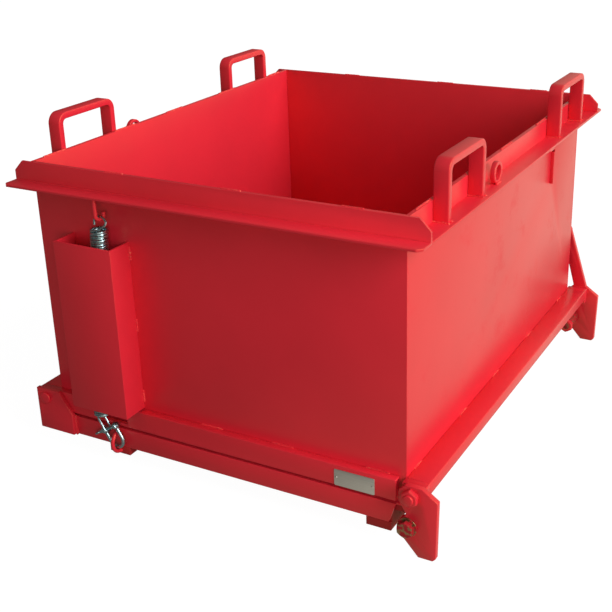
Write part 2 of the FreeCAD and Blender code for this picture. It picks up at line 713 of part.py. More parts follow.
def make_latch_shaft():
    """One shaft turns both plates; a nut at each end holds them."""
    at = ("hinge_place", "axis_height")
    end = "latch_outer + hex_thick + shaft_stub"
    node("latch_shaft", rod("LatchShaft", "Y", "shaft_radius", at, (f"-({end})", end)))
    for name, side in SIDES:
        along = outward(side, "latch_outer", "latch_outer + hex_thick")
        bore = rod("NutBore", "Y", "shaft_radius + seat_gap", at, along)
        node(f"latch_nut_{name}", cut("LatchNut", hexagon("LatchHex", at, along), [bore]))


def make_rollers():
    """Sleeves on bolts through the latch plates; the flap's catch bars rest on them."""
    at = ("roller_place", "roller_height")
    inner = "flap_face - roller_long"
    nut_end = f"{inner} - hex_thick"
    for name, side in SIDES:
        sleeve_y = outward(side, inner, "flap_face")
        sleeve = rod("RollerSleeve", "Y", "roller_radius", at, sleeve_y)
        bore = rod("RollerBore", "Y", "shaft_radius + seat_gap", at, sleeve_y)
        node(f"roller_{name}", cut("Roller", sleeve, [bore]))
        bolt = [
            rod("RollerShank", "Y", "shaft_radius", at, outward(side, nut_end, "washer_outer")),
            rod("RollerWasher", "Y", "washer_radius", at, outward(side, "latch_outer", "washer_outer")),
            hexagon("RollerHead", at, outward(side, "washer_outer", "washer_outer + hex_thick")),
        ]
        node(f"roller_bolt_{name}", fuse("RollerBolt", bolt))
        nut_y = outward(side, nut_end, inner)
        nut_bore = rod("RollerNutBore", "Y", "shaft_radius + seat_gap", at, nut_y)
        node(f"roller_nut_{name}", cut("RollerNut", hexagon("RollerHex", at, nut_y), [nut_bore]))


# Springs


def ring_path(middle, radius, across, up, start, end):
    """Points and directions round a ring; zero degrees is its bottom, where it runs across."""
    path = []
    count = math.ceil((end - start) / RING_STEP)
    for step in range(count + 1):
        angle = math.radians(start + (end - start) * step / count)
        point = middle + across * (radius * math.sin(angle)) - up * (radius * math.cos(angle))
        path.append((point, across * math.cos(angle) + up * math.sin(angle)))
    return path


def coil_point(turn, turns, bottom, top):
    """A point of the coil, counted in turns; both ends draw in over their last turn."""
    ease = min(turn, turns - turn, 1)
    drawn_in = ease * ease * (3 - 2 * ease)
    radius = value("coil_end_radius") + (value("coil_radius") - value("coil_end_radius")) * drawn_in
    axis = bottom + (top - bottom) * (turn / turns)
    angle = 2 * math.pi * (turn + FIRST_TURN)
    return axis + FreeCAD.Vector(radius * math.cos(angle), radius * math.sin(angle), 0)


def low_hook_path(grip):
    """The long hook round the shackle's pin, square to the pin, and the place where the coil starts."""
    lean = math.radians(value("shackle_lean"))
    beside = FreeCAD.Vector(math.cos(lean), 0, math.sin(lean))
    up = FreeCAD.Vector(-math.sin(lean), 0, math.cos(lean))
    across = FreeCAD.Vector(0, 1, 0)
    radius = value("low_hook_radius")
    pin = FreeCAD.Vector(-value("pin_place"), -value("link_plane"), value("pin_height"))
    low = pin - beside * value("low_hook_shift") + up * (radius - grip)
    high = low + up * value("low_hook_long")
    half = ROUND / 2
    path = ring_path(high, radius, across, up, RING_OPEN - half, -half / 2)
    path += ring_path(low, radius, across, up, -half / 2, half / 2)
    path += ring_path(high, radius, across, up, half / 2, half)
    return path, high + up * radius


def spring_path():
    """The front spring's bottom hook, coil and top ring, as lists of points and directions.

    The top ring lies in XZ over the hook's bend, in front of the coil's middle line.
    """
    end_radius = value("coil_end_radius")
    grip = value("hook_bar_radius") + value("coil_wire_radius") + value("seat_gap")
    low, low_end = low_hook_path(grip)
    high_radius = value("high_ring_radius")
    high_height = value("hook_height") + grip - high_radius
    high_middle = FreeCAD.Vector(-value("hook_place"), -value("link_plane"), high_height)
    bottom = low_end + FreeCAD.Vector(end_radius, 0, 0)
    top = high_middle + FreeCAD.Vector(0, end_radius, -high_radius)
    turns = value("coil_turns") + LAST_TURN
    coil = []
    for step in range(1, round(turns * COIL_STEPS)):
        turn = step / COIL_STEPS
        ahead = coil_point(turn + TANGENT_STEP, turns, bottom, top)
        behind = coil_point(turn - TANGENT_STEP, turns, bottom, top)
        coil.append((coil_point(turn, turns, bottom, top), (ahead - behind).normalize()))
    high = ring_path(high_middle, high_radius, FreeCAD.Vector(1, 0, 0), UP, 0, ROUND - RING_OPEN)
    return low, coil, high


def mirrored(path):
    """The same path on the other side of the front-to-back middle."""
    return [tuple(FreeCAD.Vector(spot.x, -spot.y, spot.z) for spot in pair) for pair in path]


def tangent_arc(start, direction, end):
    """The arc from start, leaving in the given direction, to end."""
    chord = end - start
    aside = direction - chord * (direction.dot(chord) / chord.dot(chord))
    lean = math.atan2(aside.Length, direction.dot(chord) / chord.Length)
    if lean < STRAIGHT:
        return Part.LineSegment(start, end).toShape()
    bulge = chord.Length / 2 * math.tan(lean / 2)
    middle = start + chord * 0.5 + aside.normalize() * bulge
    return Part.Arc(start, middle, end).toShape()


def biarc(first, second):
    """Two arcs that join two points and keep both directions, or a straight line."""
    (start, leave), (end, arrive) = first, second
    chord = end - start
    if max(chord.getAngle(leave), chord.getAngle(arrive)) < STRAIGHT:
        return [Part.LineSegment(start, end).toShape()]
    along = chord.dot(leave + arrive)
    bend = 2 * (1 - leave.dot(arrive))
    reach = (math.sqrt(along * along + bend * chord.dot(chord)) - along) / bend
    joint = (start + leave * reach + end - arrive * reach) * 0.5
    one = tangent_arc(start, leave, joint)
    two = tangent_arc(end, arrive * -1, joint)
    return [one, two]


def make_springs():
    low, coil, high = spring_path()
    report_gap(coil)
    for name, side in SIDES:
        path = low + coil + high
        if side > 0:
            path = mirrored(path)
        arcs = []
        for first, second in zip(path, path[1:]):
            arcs += biarc(first, second)
        spine = Part.Wire(Part.__sortEdges__(arcs))
        start, direction = path[0]
        profile = Part.Wire(Part.Circle(start, direction, value("coil_wire_radius")).toShape())
        sweep = Part.BRepOffsetAPI.MakePipeShell(spine)
        sweep.add(profile)
        sweep.build()
        sweep.makeSolid()
        spring = doc.addObject("Part::Feature", f"Spring_{name}")
        spring.Shape = sweep.shape()
        node(f"spring_{name}", spring)


def report_gap(coil):
    """Print the least gap between a spring's turns, measured on its points."""
    far = COIL_STEPS // 2
    pairs = ((one, two) for one in range(len(coil)) for two in range(one + far, len(coil)))
    least = min((coil[one][0] - coil[two][0]).Length for one, two in pairs)
    print(f"springs: least gap between turns {least - 2 * value('coil_wire_radius'):.2f} mm")


# Making and writing


def export_nodes():
    doc.recompute()
    os.makedirs("parts", exist_ok=True)
    for solid in nodes:
        if "Invalid" in solid.State or "Error" in solid.State or not solid.Shape.isValid():
            raise ValueError(f"{solid.Label} is not valid")
        if len(solid.Shape.Solids) != 1:
            raise ValueError(f"{solid.Label} has {len(solid.Shape.Solids)} solids")
        solid.Shape.exportStep(f"parts/{solid.Label}.step")
        print(solid.Label, round(solid.Shape.Volume))


dims = make_sheet()
make_walls()
make_rims()
make_loops()
make_ring_eyes()
make_base_frame()
make_bearing_blocks()
make_hinge_pins()
make_nameplate()
make_spring_covers()
make_spring_hooks()
make_flap()
make_hinge_plates()
make_flap_eyes()
make_shackles()
make_latch_plates()
make_release_lever()
make_latch_shaft()
make_rollers()
make_springs()
export_nodes()
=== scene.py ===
# %% [markdown]
# A steel hopper with a hinged floor
#
# This lesson dresses a finished CAD model of a workshop hopper: a welded box of painted sheet with a
# floor flap, two latch plates and two long closing springs. The CAD model is loaded as a fixed frame.
# Nothing in it is moved. Plain plates are copied, and the copies get the small round edges of cut and
# painted steel. Bars, rings, springs, shackles and bolts are modelled again with more detail. Weld beads,
# which the CAD model leaves out, are added last.

# %% Load the frame
import math

import bpy
from mathutils import Matrix, Vector


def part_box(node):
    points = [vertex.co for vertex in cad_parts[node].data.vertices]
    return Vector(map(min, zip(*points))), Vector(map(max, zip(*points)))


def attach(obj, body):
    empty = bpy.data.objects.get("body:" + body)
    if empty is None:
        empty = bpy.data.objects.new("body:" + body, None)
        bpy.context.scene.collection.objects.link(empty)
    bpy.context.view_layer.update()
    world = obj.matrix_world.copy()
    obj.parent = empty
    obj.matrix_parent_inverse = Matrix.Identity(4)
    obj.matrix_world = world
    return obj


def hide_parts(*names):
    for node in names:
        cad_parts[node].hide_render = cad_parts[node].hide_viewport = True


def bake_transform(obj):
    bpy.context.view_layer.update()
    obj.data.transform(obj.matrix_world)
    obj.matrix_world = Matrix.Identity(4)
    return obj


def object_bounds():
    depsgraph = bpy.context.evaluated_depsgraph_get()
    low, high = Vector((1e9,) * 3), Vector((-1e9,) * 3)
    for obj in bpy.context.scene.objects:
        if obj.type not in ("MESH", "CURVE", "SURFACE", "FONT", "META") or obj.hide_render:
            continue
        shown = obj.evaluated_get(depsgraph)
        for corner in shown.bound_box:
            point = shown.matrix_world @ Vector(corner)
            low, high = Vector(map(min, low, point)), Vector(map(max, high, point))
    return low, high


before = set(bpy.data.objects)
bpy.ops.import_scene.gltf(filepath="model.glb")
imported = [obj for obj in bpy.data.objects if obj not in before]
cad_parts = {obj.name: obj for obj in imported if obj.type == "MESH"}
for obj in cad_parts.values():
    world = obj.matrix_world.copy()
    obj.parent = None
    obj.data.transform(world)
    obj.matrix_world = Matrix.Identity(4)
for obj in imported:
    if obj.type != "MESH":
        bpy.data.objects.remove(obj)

cad_low, cad_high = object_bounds()
print("CAD box from", [round(c, 3) for c in cad_low], "to", [round(c, 3) for c in cad_high])

# %% [markdown]
# Sizes
#
# The frame gives the place of every CAD piece, so most places are read from it. These few values are
# the thickness of bars and the small gaps that a box can't tell. All lengths are in metres.

# %% Named sizes
MM = 0.001
SHEET_EDGE = 0.8 * MM
BASE_EDGE = 1.6 * MM
PLATE_EDGE = 1.4 * MM
BAR_EDGE = 2.2 * MM
MERGE = 0.001 * MM
LOOP_BAR = 14 * MM
LOOP_BEND = 24 * MM
EYE_WALL = 7 * MM
LINK_BAR = 4 * MM
HOOK_BEND = 9 * MM
HOOK_TIP = 4.5 * MM
HOOK_TURN = math.radians(70)
HOOK_X = -225 * MM
SIDES = (("front", -1), ("back", 1))
HANDS = (("left", -1), ("right", 1))

link_low, link_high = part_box("shackle_front")
link_plane = -(link_low[1] + link_high[1]) / 2
wall_low, wall_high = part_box("wall_front")
half_width = wall_high[0]
half_depth = -wall_low[1]
ledge_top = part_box("base_front")[1][2]
flange_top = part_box("loop_front_left")[0][2]
flap_face = -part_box("band_front")[0][1]
print("walls", round(2 * half_width, 3), "x", round(2 * half_depth, 3), "m")
print("springs at y", round(link_plane, 4))

# %% [markdown]
# Helpers for selecting and finishing
#
# An operator works on whatever is selected, so each step first selects just one object. A piece is
# finished the same way each time: smooth shading up to a given angle, a material, the body that it
# rides on, and the CAD nodes that it stands for.

# %% Selecting, editing and finishing
SMOOTH_ANGLE = math.radians(35)
made = []


def corners_of(node):
    """The low and the high corner of a CAD node's box."""
    return [Vector(corner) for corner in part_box(node)]


def depth_of(node):
    """How far a CAD node reaches along Y."""
    low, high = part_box(node)
    return high[1] - low[1]


def clear_selection():
    if bpy.context.object and bpy.context.object.mode != "OBJECT":
        bpy.ops.object.mode_set(mode="OBJECT")
    bpy.ops.object.select_all(action="DESELECT")


def only(piece):
    """Make this the one selected object."""
    clear_selection()
    piece.select_set(True)
    bpy.context.view_layer.objects.active = piece


def edit_selected(piece):
    """Start to edit with the faces that are already picked."""
    only(piece)
    bpy.ops.object.mode_set(mode="EDIT")


def edit(piece):
    """Start to edit the whole mesh."""
    edit_selected(piece)
    bpy.ops.mesh.select_all(action="SELECT")


def done():
    bpy.ops.object.mode_set(mode="OBJECT")


def apply_modifiers(piece):
    only(piece)
    for modifier in list(piece.modifiers):
        bpy.ops.object.modifier_apply(modifier=modifier.name)


def round_edges(piece, width, segments=2, angle=40):
    """Bevel the sharp edges and apply the modifier."""
    bevel = piece.modifiers.new("edges", "BEVEL")
    bevel.width = width
    bevel.segments = segments
    bevel.limit_method = "ANGLE"
    bevel.angle_limit = math.radians(angle)
    bevel.use_clamp_overlap = False
    apply_modifiers(piece)


def settle(piece):
    """Put the object's place and turn into its mesh."""
    only(piece)
    bpy.ops.object.transform_apply(location=True, rotation=True, scale=True)


def shade(piece):
    only(piece)
    bpy.ops.object.shade_smooth_by_angle(angle=SMOOTH_ANGLE)


def finish(piece, name, body, material, nodes=()):
    """Name, shade, paint and mount a piece."""
    settle(piece)
    shade(piece)
    piece.name = name
    piece.data.name = name
    piece.data.materials.clear()
    piece.data.materials.append(material)
    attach(piece, body)
    if nodes:
        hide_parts(*nodes)
    made.append(piece)
    return piece


def join(pieces):
    """Join pieces into the first one."""
    only(pieces[0])
    for piece in pieces[1:]:
        piece.select_set(True)
    bpy.ops.object.join()
    return pieces[0]


def twin(piece, shift=(0, 0, 0), flip=(1, 1, 1)):
    """A copy with its own mesh, mirrored by the signs in flip and then moved."""
    copy = piece.copy()
    copy.data = piece.data.copy()
    bpy.context.scene.collection.objects.link(copy)
    copy.data.transform(Matrix.Translation(shift) @ Matrix.Diagonal((*flip, 1)))
    if flip[0] * flip[1] * flip[2] < 0:
        edit(copy)
        bpy.ops.mesh.flip_normals()
        done()
    return copy


# %% [markdown]
# Node helpers
#
# A material is a small graph. These two helpers add a node with its settings and join sockets, so that
# the graphs below read as a list of steps. Values that are the same all over a surface are written
# straight on the shader's own sockets. A colour mix node has sockets for every kind of value, so the ones
# in use here are given names.

# %% Node helpers
MIX_SHARE = 0
MIX_PLAIN_FIRST, MIX_PLAIN_SECOND, MIX_PLAIN_RESULT = 2, 3, 0
MIX_FIRST, MIX_SECOND, MIX_RESULT = 6, 7, 2


def add_node(tree, kind, **values):
    """Add a node. A value named after an input goes there, and any other is a setting of the node."""
    node = tree.nodes.new(kind)
    for name, value in values.items():
        key = name.replace("_", " ")
        if key in node.inputs:
            node.inputs[key].default_value = value
        else:
            setattr(node, name, value)
    return node


def object_place(tree):
    """The place of a point on its piece."""
    return tree.nodes.new("ShaderNodeTexCoord").outputs["Object"]


def join_sockets(tree, *pairs):
    for source, target in pairs:
        tree.links.new(source, target)


def ramp(tree, factor, stops):
    """Turn a noise value into a mask; stops are pairs of a value and the level there."""
    node = tree.nodes.new("ShaderNodeValToRGB")
    tree.links.new(factor, node.inputs["Fac"])
    elements = node.color_ramp.elements
    while len(elements) < len(stops):
        elements.new(0.5)
    for element, (position, level) in zip(elements, stops):
        element.position = position
        element.color = (level, level, level, 1)
    return node.outputs["Color"]


def start_group(name, inputs, outputs):
    """A shader node group with named inputs and outputs."""
    tree = bpy.data.node_groups.new(name, "ShaderNodeTree")
    for label, (kind, value) in inputs.items():
        socket = tree.interface.new_socket(label, in_out="INPUT", socket_type=kind)
        socket.default_value = value
    for label, kind in outputs.items():
        tree.interface.new_socket(label, in_out="OUTPUT", socket_type=kind)
    entry = tree.nodes.new("NodeGroupInput").outputs
    leave = tree.nodes.new("NodeGroupOutput").inputs
    return tree, entry, leave


# %% [markdown]
# The skin of sprayed paint
#
# A sprayed coat is never one flat colour. It is a little thinner and duller in some places, its surface
# has a fine orange peel, and handling leaves faint dull rubs. One noise texture could do each of these.
# They are put in one group, because the walls, the bars and the bolts share them in different strengths.

# %% Group: sprayed skin
FLOAT = "NodeSocketFloat"
COLOUR = "NodeSocketColor"
CLOUD_SCALE = 4.0
PEEL_SCALE = 420.0
RUB_SCALE = 14.0
RUB_STOPS = ((0.56, 0.0), (0.72, 1.0))
RUB_DULLING = 0.3


def make_sprayed_skin():
    tree, entry, leave = start_group(
        "sprayed_skin",
        {
            "Colour": (COLOUR, (0.8, 0.02, 0.03, 1)),
            "Tone": (FLOAT, 0.06),
            "Gloss": (FLOAT, 0.4),
            "Rubs": (FLOAT, 0.3),
        },
        {"Colour": COLOUR, "Roughness": FLOAT, "Height": FLOAT},
    )
    place = object_place(tree)
    clouds = add_node(tree, "ShaderNodeTexNoise", Scale=CLOUD_SCALE, Detail=3.0)
    peel = add_node(tree, "ShaderNodeTexNoise", Scale=PEEL_SCALE, Detail=1.0)
    rubs = add_node(tree, "ShaderNodeTexNoise", Scale=RUB_SCALE, Detail=6.0, Roughness=0.7)
    join_sockets(tree, (place, clouds.inputs["Vector"]), (place, peel.inputs["Vector"]))
    join_sockets(tree, (place, rubs.inputs["Vector"]))
    tone = add_node(tree, "ShaderNodeMapRange", From_Min=0.3, From_Max=0.7)
    low = add_node(tree, "ShaderNodeMath", operation="SUBTRACT")
    low.inputs[0].default_value = 1.0
    high = add_node(tree, "ShaderNodeMath", operation="ADD")
    high.inputs[0].default_value = 1.0
    join_sockets(
        tree,
        (entry["Tone"], low.inputs[1]),
        (entry["Tone"], high.inputs[1]),
        (clouds.outputs["Fac"], tone.inputs["Value"]),
        (low.outputs["Value"], tone.inputs["To Min"]),
        (high.outputs["Value"], tone.inputs["To Max"]),
    )
    shaded = add_node(tree, "ShaderNodeVectorMath", operation="SCALE")
    join_sockets(
        tree,
        (entry["Colour"], shaded.inputs[0]),
        (tone.outputs["Result"], shaded.inputs["Scale"]),
        (shaded.outputs["Vector"], leave["Colour"]),
    )
    rub_mask = ramp(tree, rubs.outputs["Fac"], RUB_STOPS)
    dull = add_node(tree, "ShaderNodeMath", operation="MULTIPLY")
    rough = add_node(tree, "ShaderNodeMath", operation="MULTIPLY_ADD")
    rough.inputs[1].default_value = RUB_DULLING
    join_sockets(
        tree,
        (rub_mask, dull.inputs[0]),
        (entry["Rubs"], dull.inputs[1]),
        (dull.outputs["Value"], rough.inputs[0]),
        (entry["Gloss"], rough.inputs[2]),
        (rough.outputs["Value"], leave["Roughness"]),
        (peel.outputs["Fac"], leave["Height"]),
    )
    return tree


sprayed_skin = make_sprayed_skin()
print("group:", sprayed_skin.name)

# %% [markdown]
# Rubbed edges and painted edge highlights
#
# Edges of a handled steel thing wear first, and round edges catch a thin line of light. A mask for them
# can be painted by hand, baked, or found by the shader. Here the shader compares the surface's own
# direction with
# one that is rounded over a small radius: the two differ only at edges. Noise breaks the mask up, because
# wear is never an even line. The paler red it brings is partly wear and partly painted highlight.

# %% Group: edge rub and painted highlight
CHIP_SCALE = 90.0
CHIP_STOPS = ((0.42, 0.0), (0.62, 1.0))
EDGE_BENT_LEAST = 0.995
EDGE_BENT_MOST = 0.86


def make_edge_rub_and_highlight():
    tree, entry, leave = start_group("edge_rub", {"Reach": (FLOAT, 1.5 * MM)}, {"Mask": FLOAT})
    rounded = add_node(tree, "ShaderNodeBevel", samples=4)
    plain = tree.nodes.new("ShaderNodeNewGeometry").outputs["Normal"]
    compare = add_node(tree, "ShaderNodeVectorMath", operation="DOT_PRODUCT")
    place = object_place(tree)
    chips = add_node(tree, "ShaderNodeTexNoise", Scale=CHIP_SCALE, Detail=4.0)
    edge = add_node(tree, "ShaderNodeMapRange", From_Min=EDGE_BENT_LEAST, From_Max=EDGE_BENT_MOST)
    broken = add_node(tree, "ShaderNodeMath", operation="MULTIPLY")
    join_sockets(
        tree,
        (entry["Reach"], rounded.inputs["Radius"]),
        (rounded.outputs["Normal"], compare.inputs[0]),
        (plain, compare.inputs[1]),
        (compare.outputs["Value"], edge.inputs["Value"]),
        (place, chips.inputs["Vector"]),
        (edge.outputs["Result"], broken.inputs[0]),
        (ramp(tree, chips.outputs["Fac"], CHIP_STOPS), broken.inputs[1]),
        (broken.outputs["Value"], leave["Mask"]),
    )
    return tree


edge_rub = make_edge_rub_and_highlight()
print("group:", edge_rub.name)

# %% [markdown]
# Red paint
#
# The hopper is sprayed with a satin signal red. The skin group gives the colour and roughness, a bump
# gives the orange peel, and edges turn a little paler, partly rubbed and partly painted highlight.
# The shader itself stays in the material.
# The beams and bars underneath have a rougher coat and a darker red, which is painted shade under the
# band.

# %% Material: red paint
RED = (0.80, 0.023, 0.044, 1)
# Paler red at the edges: rubbed paint, and a painted highlight along the round edges.
PALE_RED_WEAR_AND_HIGHLIGHT = (0.88, 0.06, 0.06, 1)
# Painted shade: a darker red for parts that lie in shadow under the flap's band.
RED_DARKENED_FOR_SHADE = (0.42, 0.014, 0.022, 1)
PAINT_SHINE = 0.55
PAINT_SHINE_TINT = (1.0, 0.95, 0.4, 1)


def use_group(tree, group, **values):
    node = tree.nodes.new("ShaderNodeGroup")
    node.node_tree = group
    for label, value in values.items():
        node.inputs[label].default_value = value
    return node


def start_material(name):
    material = bpy.data.materials.new(name)
    material.use_nodes = True
    tree = material.node_tree
    return material, tree, tree.nodes["Principled BSDF"].inputs


# The edge mask mixes in the paler red: wear, and a painted highlight on the edges.
def make_paint(name, gloss, rubs, edge_rub_and_highlight_share, colour=RED):
    material, tree, shader = start_material(name)
    skin = use_group(tree, sprayed_skin, Colour=colour, Tone=0.05, Gloss=gloss, Rubs=rubs)
    edges = use_group(tree, edge_rub)
    share = add_node(tree, "ShaderNodeMath", operation="MULTIPLY")
    share.inputs[1].default_value = edge_rub_and_highlight_share
    mix = add_node(tree, "ShaderNodeMix", data_type="RGBA")
    mix.inputs[MIX_SECOND].default_value = PALE_RED_WEAR_AND_HIGHLIGHT
    bump = add_node(tree, "ShaderNodeBump", Strength=0.12, Distance=0.15 * MM)
    join_sockets(
        tree,
        (edges.outputs["Mask"], share.inputs[0]),
        (share.outputs["Value"], mix.inputs[MIX_SHARE]),
        (skin.outputs["Colour"], mix.inputs[MIX_FIRST]),
        (mix.outputs[MIX_RESULT], shader["Base Color"]),
        (skin.outputs["Roughness"], shader["Roughness"]),
        (skin.outputs["Height"], bump.inputs["Height"]),
        (bump.outputs["Normal"], shader["Normal"]),
    )
    shader["Specular IOR Level"].default_value = PAINT_SHINE
    shader["Specular Tint"].default_value = PAINT_SHINE_TINT
    return material


red_paint = make_paint("red_paint", 0.36, 0.35, 0.5)
bar_paint = make_paint("red_paint_on_bars", 0.36, 0.5, 0.8)
shade_darkened_paint = make_paint("dull_red_paint_underneath", 0.6, 0.6, 0.2, RED_DARKENED_FOR_SHADE)
print("paints:", red_paint.name, bar_paint.name, shade_darkened_paint.name)

# %% [markdown]
# Bare metals
#
# The springs and shackles are zinc plated, with a bluish shine and cloudy dull spots. The nameplate is
# bare sheet with a fine brushed grain along its length. The face of the lower latch bolt has lost its
# paint, and shows warm bare steel with a rim of red. That red, on the bolts and the rollers, is darkened:
# painted shade for the dark gap they sit in.

# %% Materials: zinc, sheet, and worn steel in painted shade
ZINC_DARK = (0.26, 0.42, 0.47, 1)
ZINC_LIGHT = (0.66, 0.84, 0.90, 1)
SHEET_DARK = (0.50, 0.49, 0.47, 1)
SHEET_LIGHT = (0.72, 0.71, 0.68, 1)
GRAIN_STRETCH = (12, 300, 900)
ZINC_CLOUD_SCALE = 160.0
SPANGLE_SCALE = 700.0
SHEET_CLOUD_SCALE = 60.0
PATCH_SCALE = 110.0
BARE_STEEL = (0.28, 0.17, 0.09, 1)
PATCH_STOPS = ((0.50, 0.0), (0.58, 1.0))


def make_zinc():
    material, tree, shader = start_material("zinc_plate")
    place = object_place(tree)
    clouds = add_node(tree, "ShaderNodeTexNoise", Scale=ZINC_CLOUD_SCALE, Detail=4.0)
    spangle = add_node(tree, "ShaderNodeTexNoise", Scale=SPANGLE_SCALE, Detail=2.0)
    tint = add_node(tree, "ShaderNodeMix", data_type="RGBA")
    tint.inputs[MIX_FIRST].default_value = ZINC_DARK
    tint.inputs[MIX_SECOND].default_value = ZINC_LIGHT
    rough = add_node(
        tree, "ShaderNodeMapRange", From_Min=0.3, From_Max=0.7, To_Min=0.2, To_Max=0.36)
    bump = add_node(tree, "ShaderNodeBump", Strength=0.15, Distance=0.05 * MM)
    join_sockets(
        tree,
        (place, clouds.inputs["Vector"]),
        (place, spangle.inputs["Vector"]),
        (clouds.outputs["Fac"], tint.inputs[MIX_SHARE]),
        (tint.outputs[MIX_RESULT], shader["Base Color"]),
        (clouds.outputs["Fac"], rough.inputs["Value"]),
        (rough.outputs["Result"], shader["Roughness"]),
        (spangle.outputs["Fac"], bump.inputs["Height"]),
        (bump.outputs["Normal"], shader["Normal"]),
    )
    shader["Metallic"].default_value = 1.0
    return material


def make_sheet():
    material, tree, shader = start_material("brushed_sheet")
    place = object_place(tree)
    along = add_node(tree, "ShaderNodeMapping")
    along.inputs["Scale"].default_value = GRAIN_STRETCH
    grain = add_node(tree, "ShaderNodeTexNoise", Scale=1.0, Detail=3.0)
    clouds = add_node(tree, "ShaderNodeTexNoise", Scale=SHEET_CLOUD_SCALE, Detail=3.0)
    tint = add_node(tree, "ShaderNodeMix", data_type="RGBA")
    tint.inputs[MIX_FIRST].default_value = SHEET_DARK
    tint.inputs[MIX_SECOND].default_value = SHEET_LIGHT
    rough = add_node(tree, "ShaderNodeMapRange", To_Min=0.32, To_Max=0.55)
    bump = add_node(tree, "ShaderNodeBump", Strength=0.2, Distance=0.03 * MM)
    join_sockets(
        tree,
        (place, along.inputs["Vector"]),
        (along.outputs["Vector"], grain.inputs["Vector"]),
        (place, clouds.inputs["Vector"]),
        (grain.outputs["Fac"], tint.inputs[MIX_SHARE]),
        (tint.outputs[MIX_RESULT], shader["Base Color"]),
        (clouds.outputs["Fac"], rough.inputs["Value"]),
        (rough.outputs["Result"], shader["Roughness"]),
        (grain.outputs["Fac"], bump.inputs["Height"]),
        (bump.outputs["Normal"], shader["Normal"]),
    )
    shader["Metallic"].default_value = 1.0
    return material


# The red round the bare patches is the shade-darkened red: painted shade. The bare patches are wear.
def make_worn_steel_in_painted_shade():
    material, tree, shader = start_material("paint_worn_to_steel")
    skin = use_group(tree, sprayed_skin, Colour=RED_DARKENED_FOR_SHADE, Tone=0.08, Gloss=0.4, Rubs=0.8)
    place = object_place(tree)
    patches = add_node(tree, "ShaderNodeTexNoise", Scale=PATCH_SCALE, Detail=4.0)
    mask = ramp(tree, patches.outputs["Fac"], PATCH_STOPS)
    tint = add_node(tree, "ShaderNodeMix", data_type="RGBA")
    tint.inputs[MIX_SECOND].default_value = BARE_STEEL
    join_sockets(
        tree,
        (place, patches.inputs["Vector"]),
        (mask, tint.inputs[MIX_SHARE]),
        (skin.outputs["Colour"], tint.inputs[MIX_FIRST]),
        (tint.outputs[MIX_RESULT], shader["Base Color"]),
        (mask, shader["Metallic"]),
        (skin.outputs["Roughness"], shader["Roughness"]),
    )
    shader["Specular IOR Level"].default_value = 0.18
    return material


zinc = make_zinc()
sheet_metal = make_sheet()
worn_steel_in_painted_shade = make_worn_steel_in_painted_shade()
print("metals:", zinc.name, sheet_metal.name, worn_steel_in_painted_shade.name)

# %% [markdown]
# Plates and sheets
#
# The walls, angle bars, bent base sheets, beams and plates have the right shape in the CAD model, but
# their edges are mathematically sharp, and a sharp edge catches no light. Each mesh is copied, merged,
# cleared of its triangle edges and given a bevel of about a millimetre. The copy then stands for the
# node, and the node stays in the model for collision, hidden.

# %% Round-edged copies
def dress(node, body, edge, material=red_paint):
    piece = bpy.data.objects.new(node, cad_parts[node].data.copy())
    bpy.context.scene.collection.objects.link(piece)
    edit(piece)
    bpy.ops.mesh.remove_doubles(threshold=MERGE)
    bpy.ops.mesh.dissolve_limited(angle_limit=math.radians(1))
    done()
    round_edges(piece, edge)
    return finish(piece, f"{node}_finished", body, material, [node])


THIN = ["wall_front", "wall_back", "wall_left", "wall_right", "slot_lip"]
THIN += [f"rim_{name}" for name in ("front", "back", "left", "right")]
THIN += [f"spring_cover_{name}" for name, _ in SIDES]
for node in THIN:
    dress(node, "hopper", SHEET_EDGE)
for name in ("front", "back", "left", "right"):
    dress(f"base_{name}", "hopper", BASE_EDGE)
for name, _ in SIDES:
    dress(f"bearing_block_{name}", "hopper", PLATE_EDGE)
    dress(f"hinge_pin_{name}", "hopper", PLATE_EDGE, bar_paint)
for node in ["floor_panel", "band_front", "band_back"]:
    dress(node, "flap", SHEET_EDGE)
# The cross beams and the catch bars get the darker red: painted shade.
for node in ["cross_beam_left", "cross_beam_right"]:
    dress(node, "flap", SHEET_EDGE, shade_darkened_paint)
for name, _ in SIDES:
    dress(f"catch_bar_{name}", "flap", PLATE_EDGE, shade_darkened_paint)
    dress(f"hinge_plate_{name}", "flap", PLATE_EDGE, bar_paint)
    dress(f"latch_plate_{name}", "latch", PLATE_EDGE, bar_paint)
    dress(f"roller_{name}", "latch", PLATE_EDGE, worn_steel_in_painted_shade)
dress("release_lever", "latch", PLATE_EDGE, bar_paint)
dress("latch_shaft", "latch", PLATE_EDGE, bar_paint)
print("round-edged copies:", len(made))

# %% [markdown]
# Bars that bend
#
# Loops, hooks, eyes and shackles are all bars: one cross section that runs straight and turns. The
# section is drawn once as an open ring of edges. Extruding it makes a straight run, and spinning it
# about a point makes a bend. The two ends are closed last. A curve with a bevel could do the same, but
# here each run and bend keeps its exact length. A count of the open edges shows that a bar is closed.

# %% Sweeping a section
BEND_STEPS = 10


def flat_section(place, wide, deep):
    clear_selection()
    bpy.ops.mesh.primitive_plane_add(size=1, location=place)
    piece = bpy.context.object
    piece.scale = (wide, deep, 1)
    settle(piece)
    edit(piece)
    bpy.ops.mesh.delete(type="ONLY_FACE")
    bpy.ops.mesh.select_all(action="SELECT")
    return piece


def round_section(place, radius, corners=20, turn=(0, 0, 0)):
    clear_selection()
    bpy.ops.mesh.primitive_circle_add(vertices=corners, radius=radius, location=place, rotation=turn)
    piece = bpy.context.object
    settle(piece)
    edit(piece)
    return piece


def run(x, y, z):
    bpy.ops.mesh.extrude_region_move(TRANSFORM_OT_translate={"value": (x, y, z)})


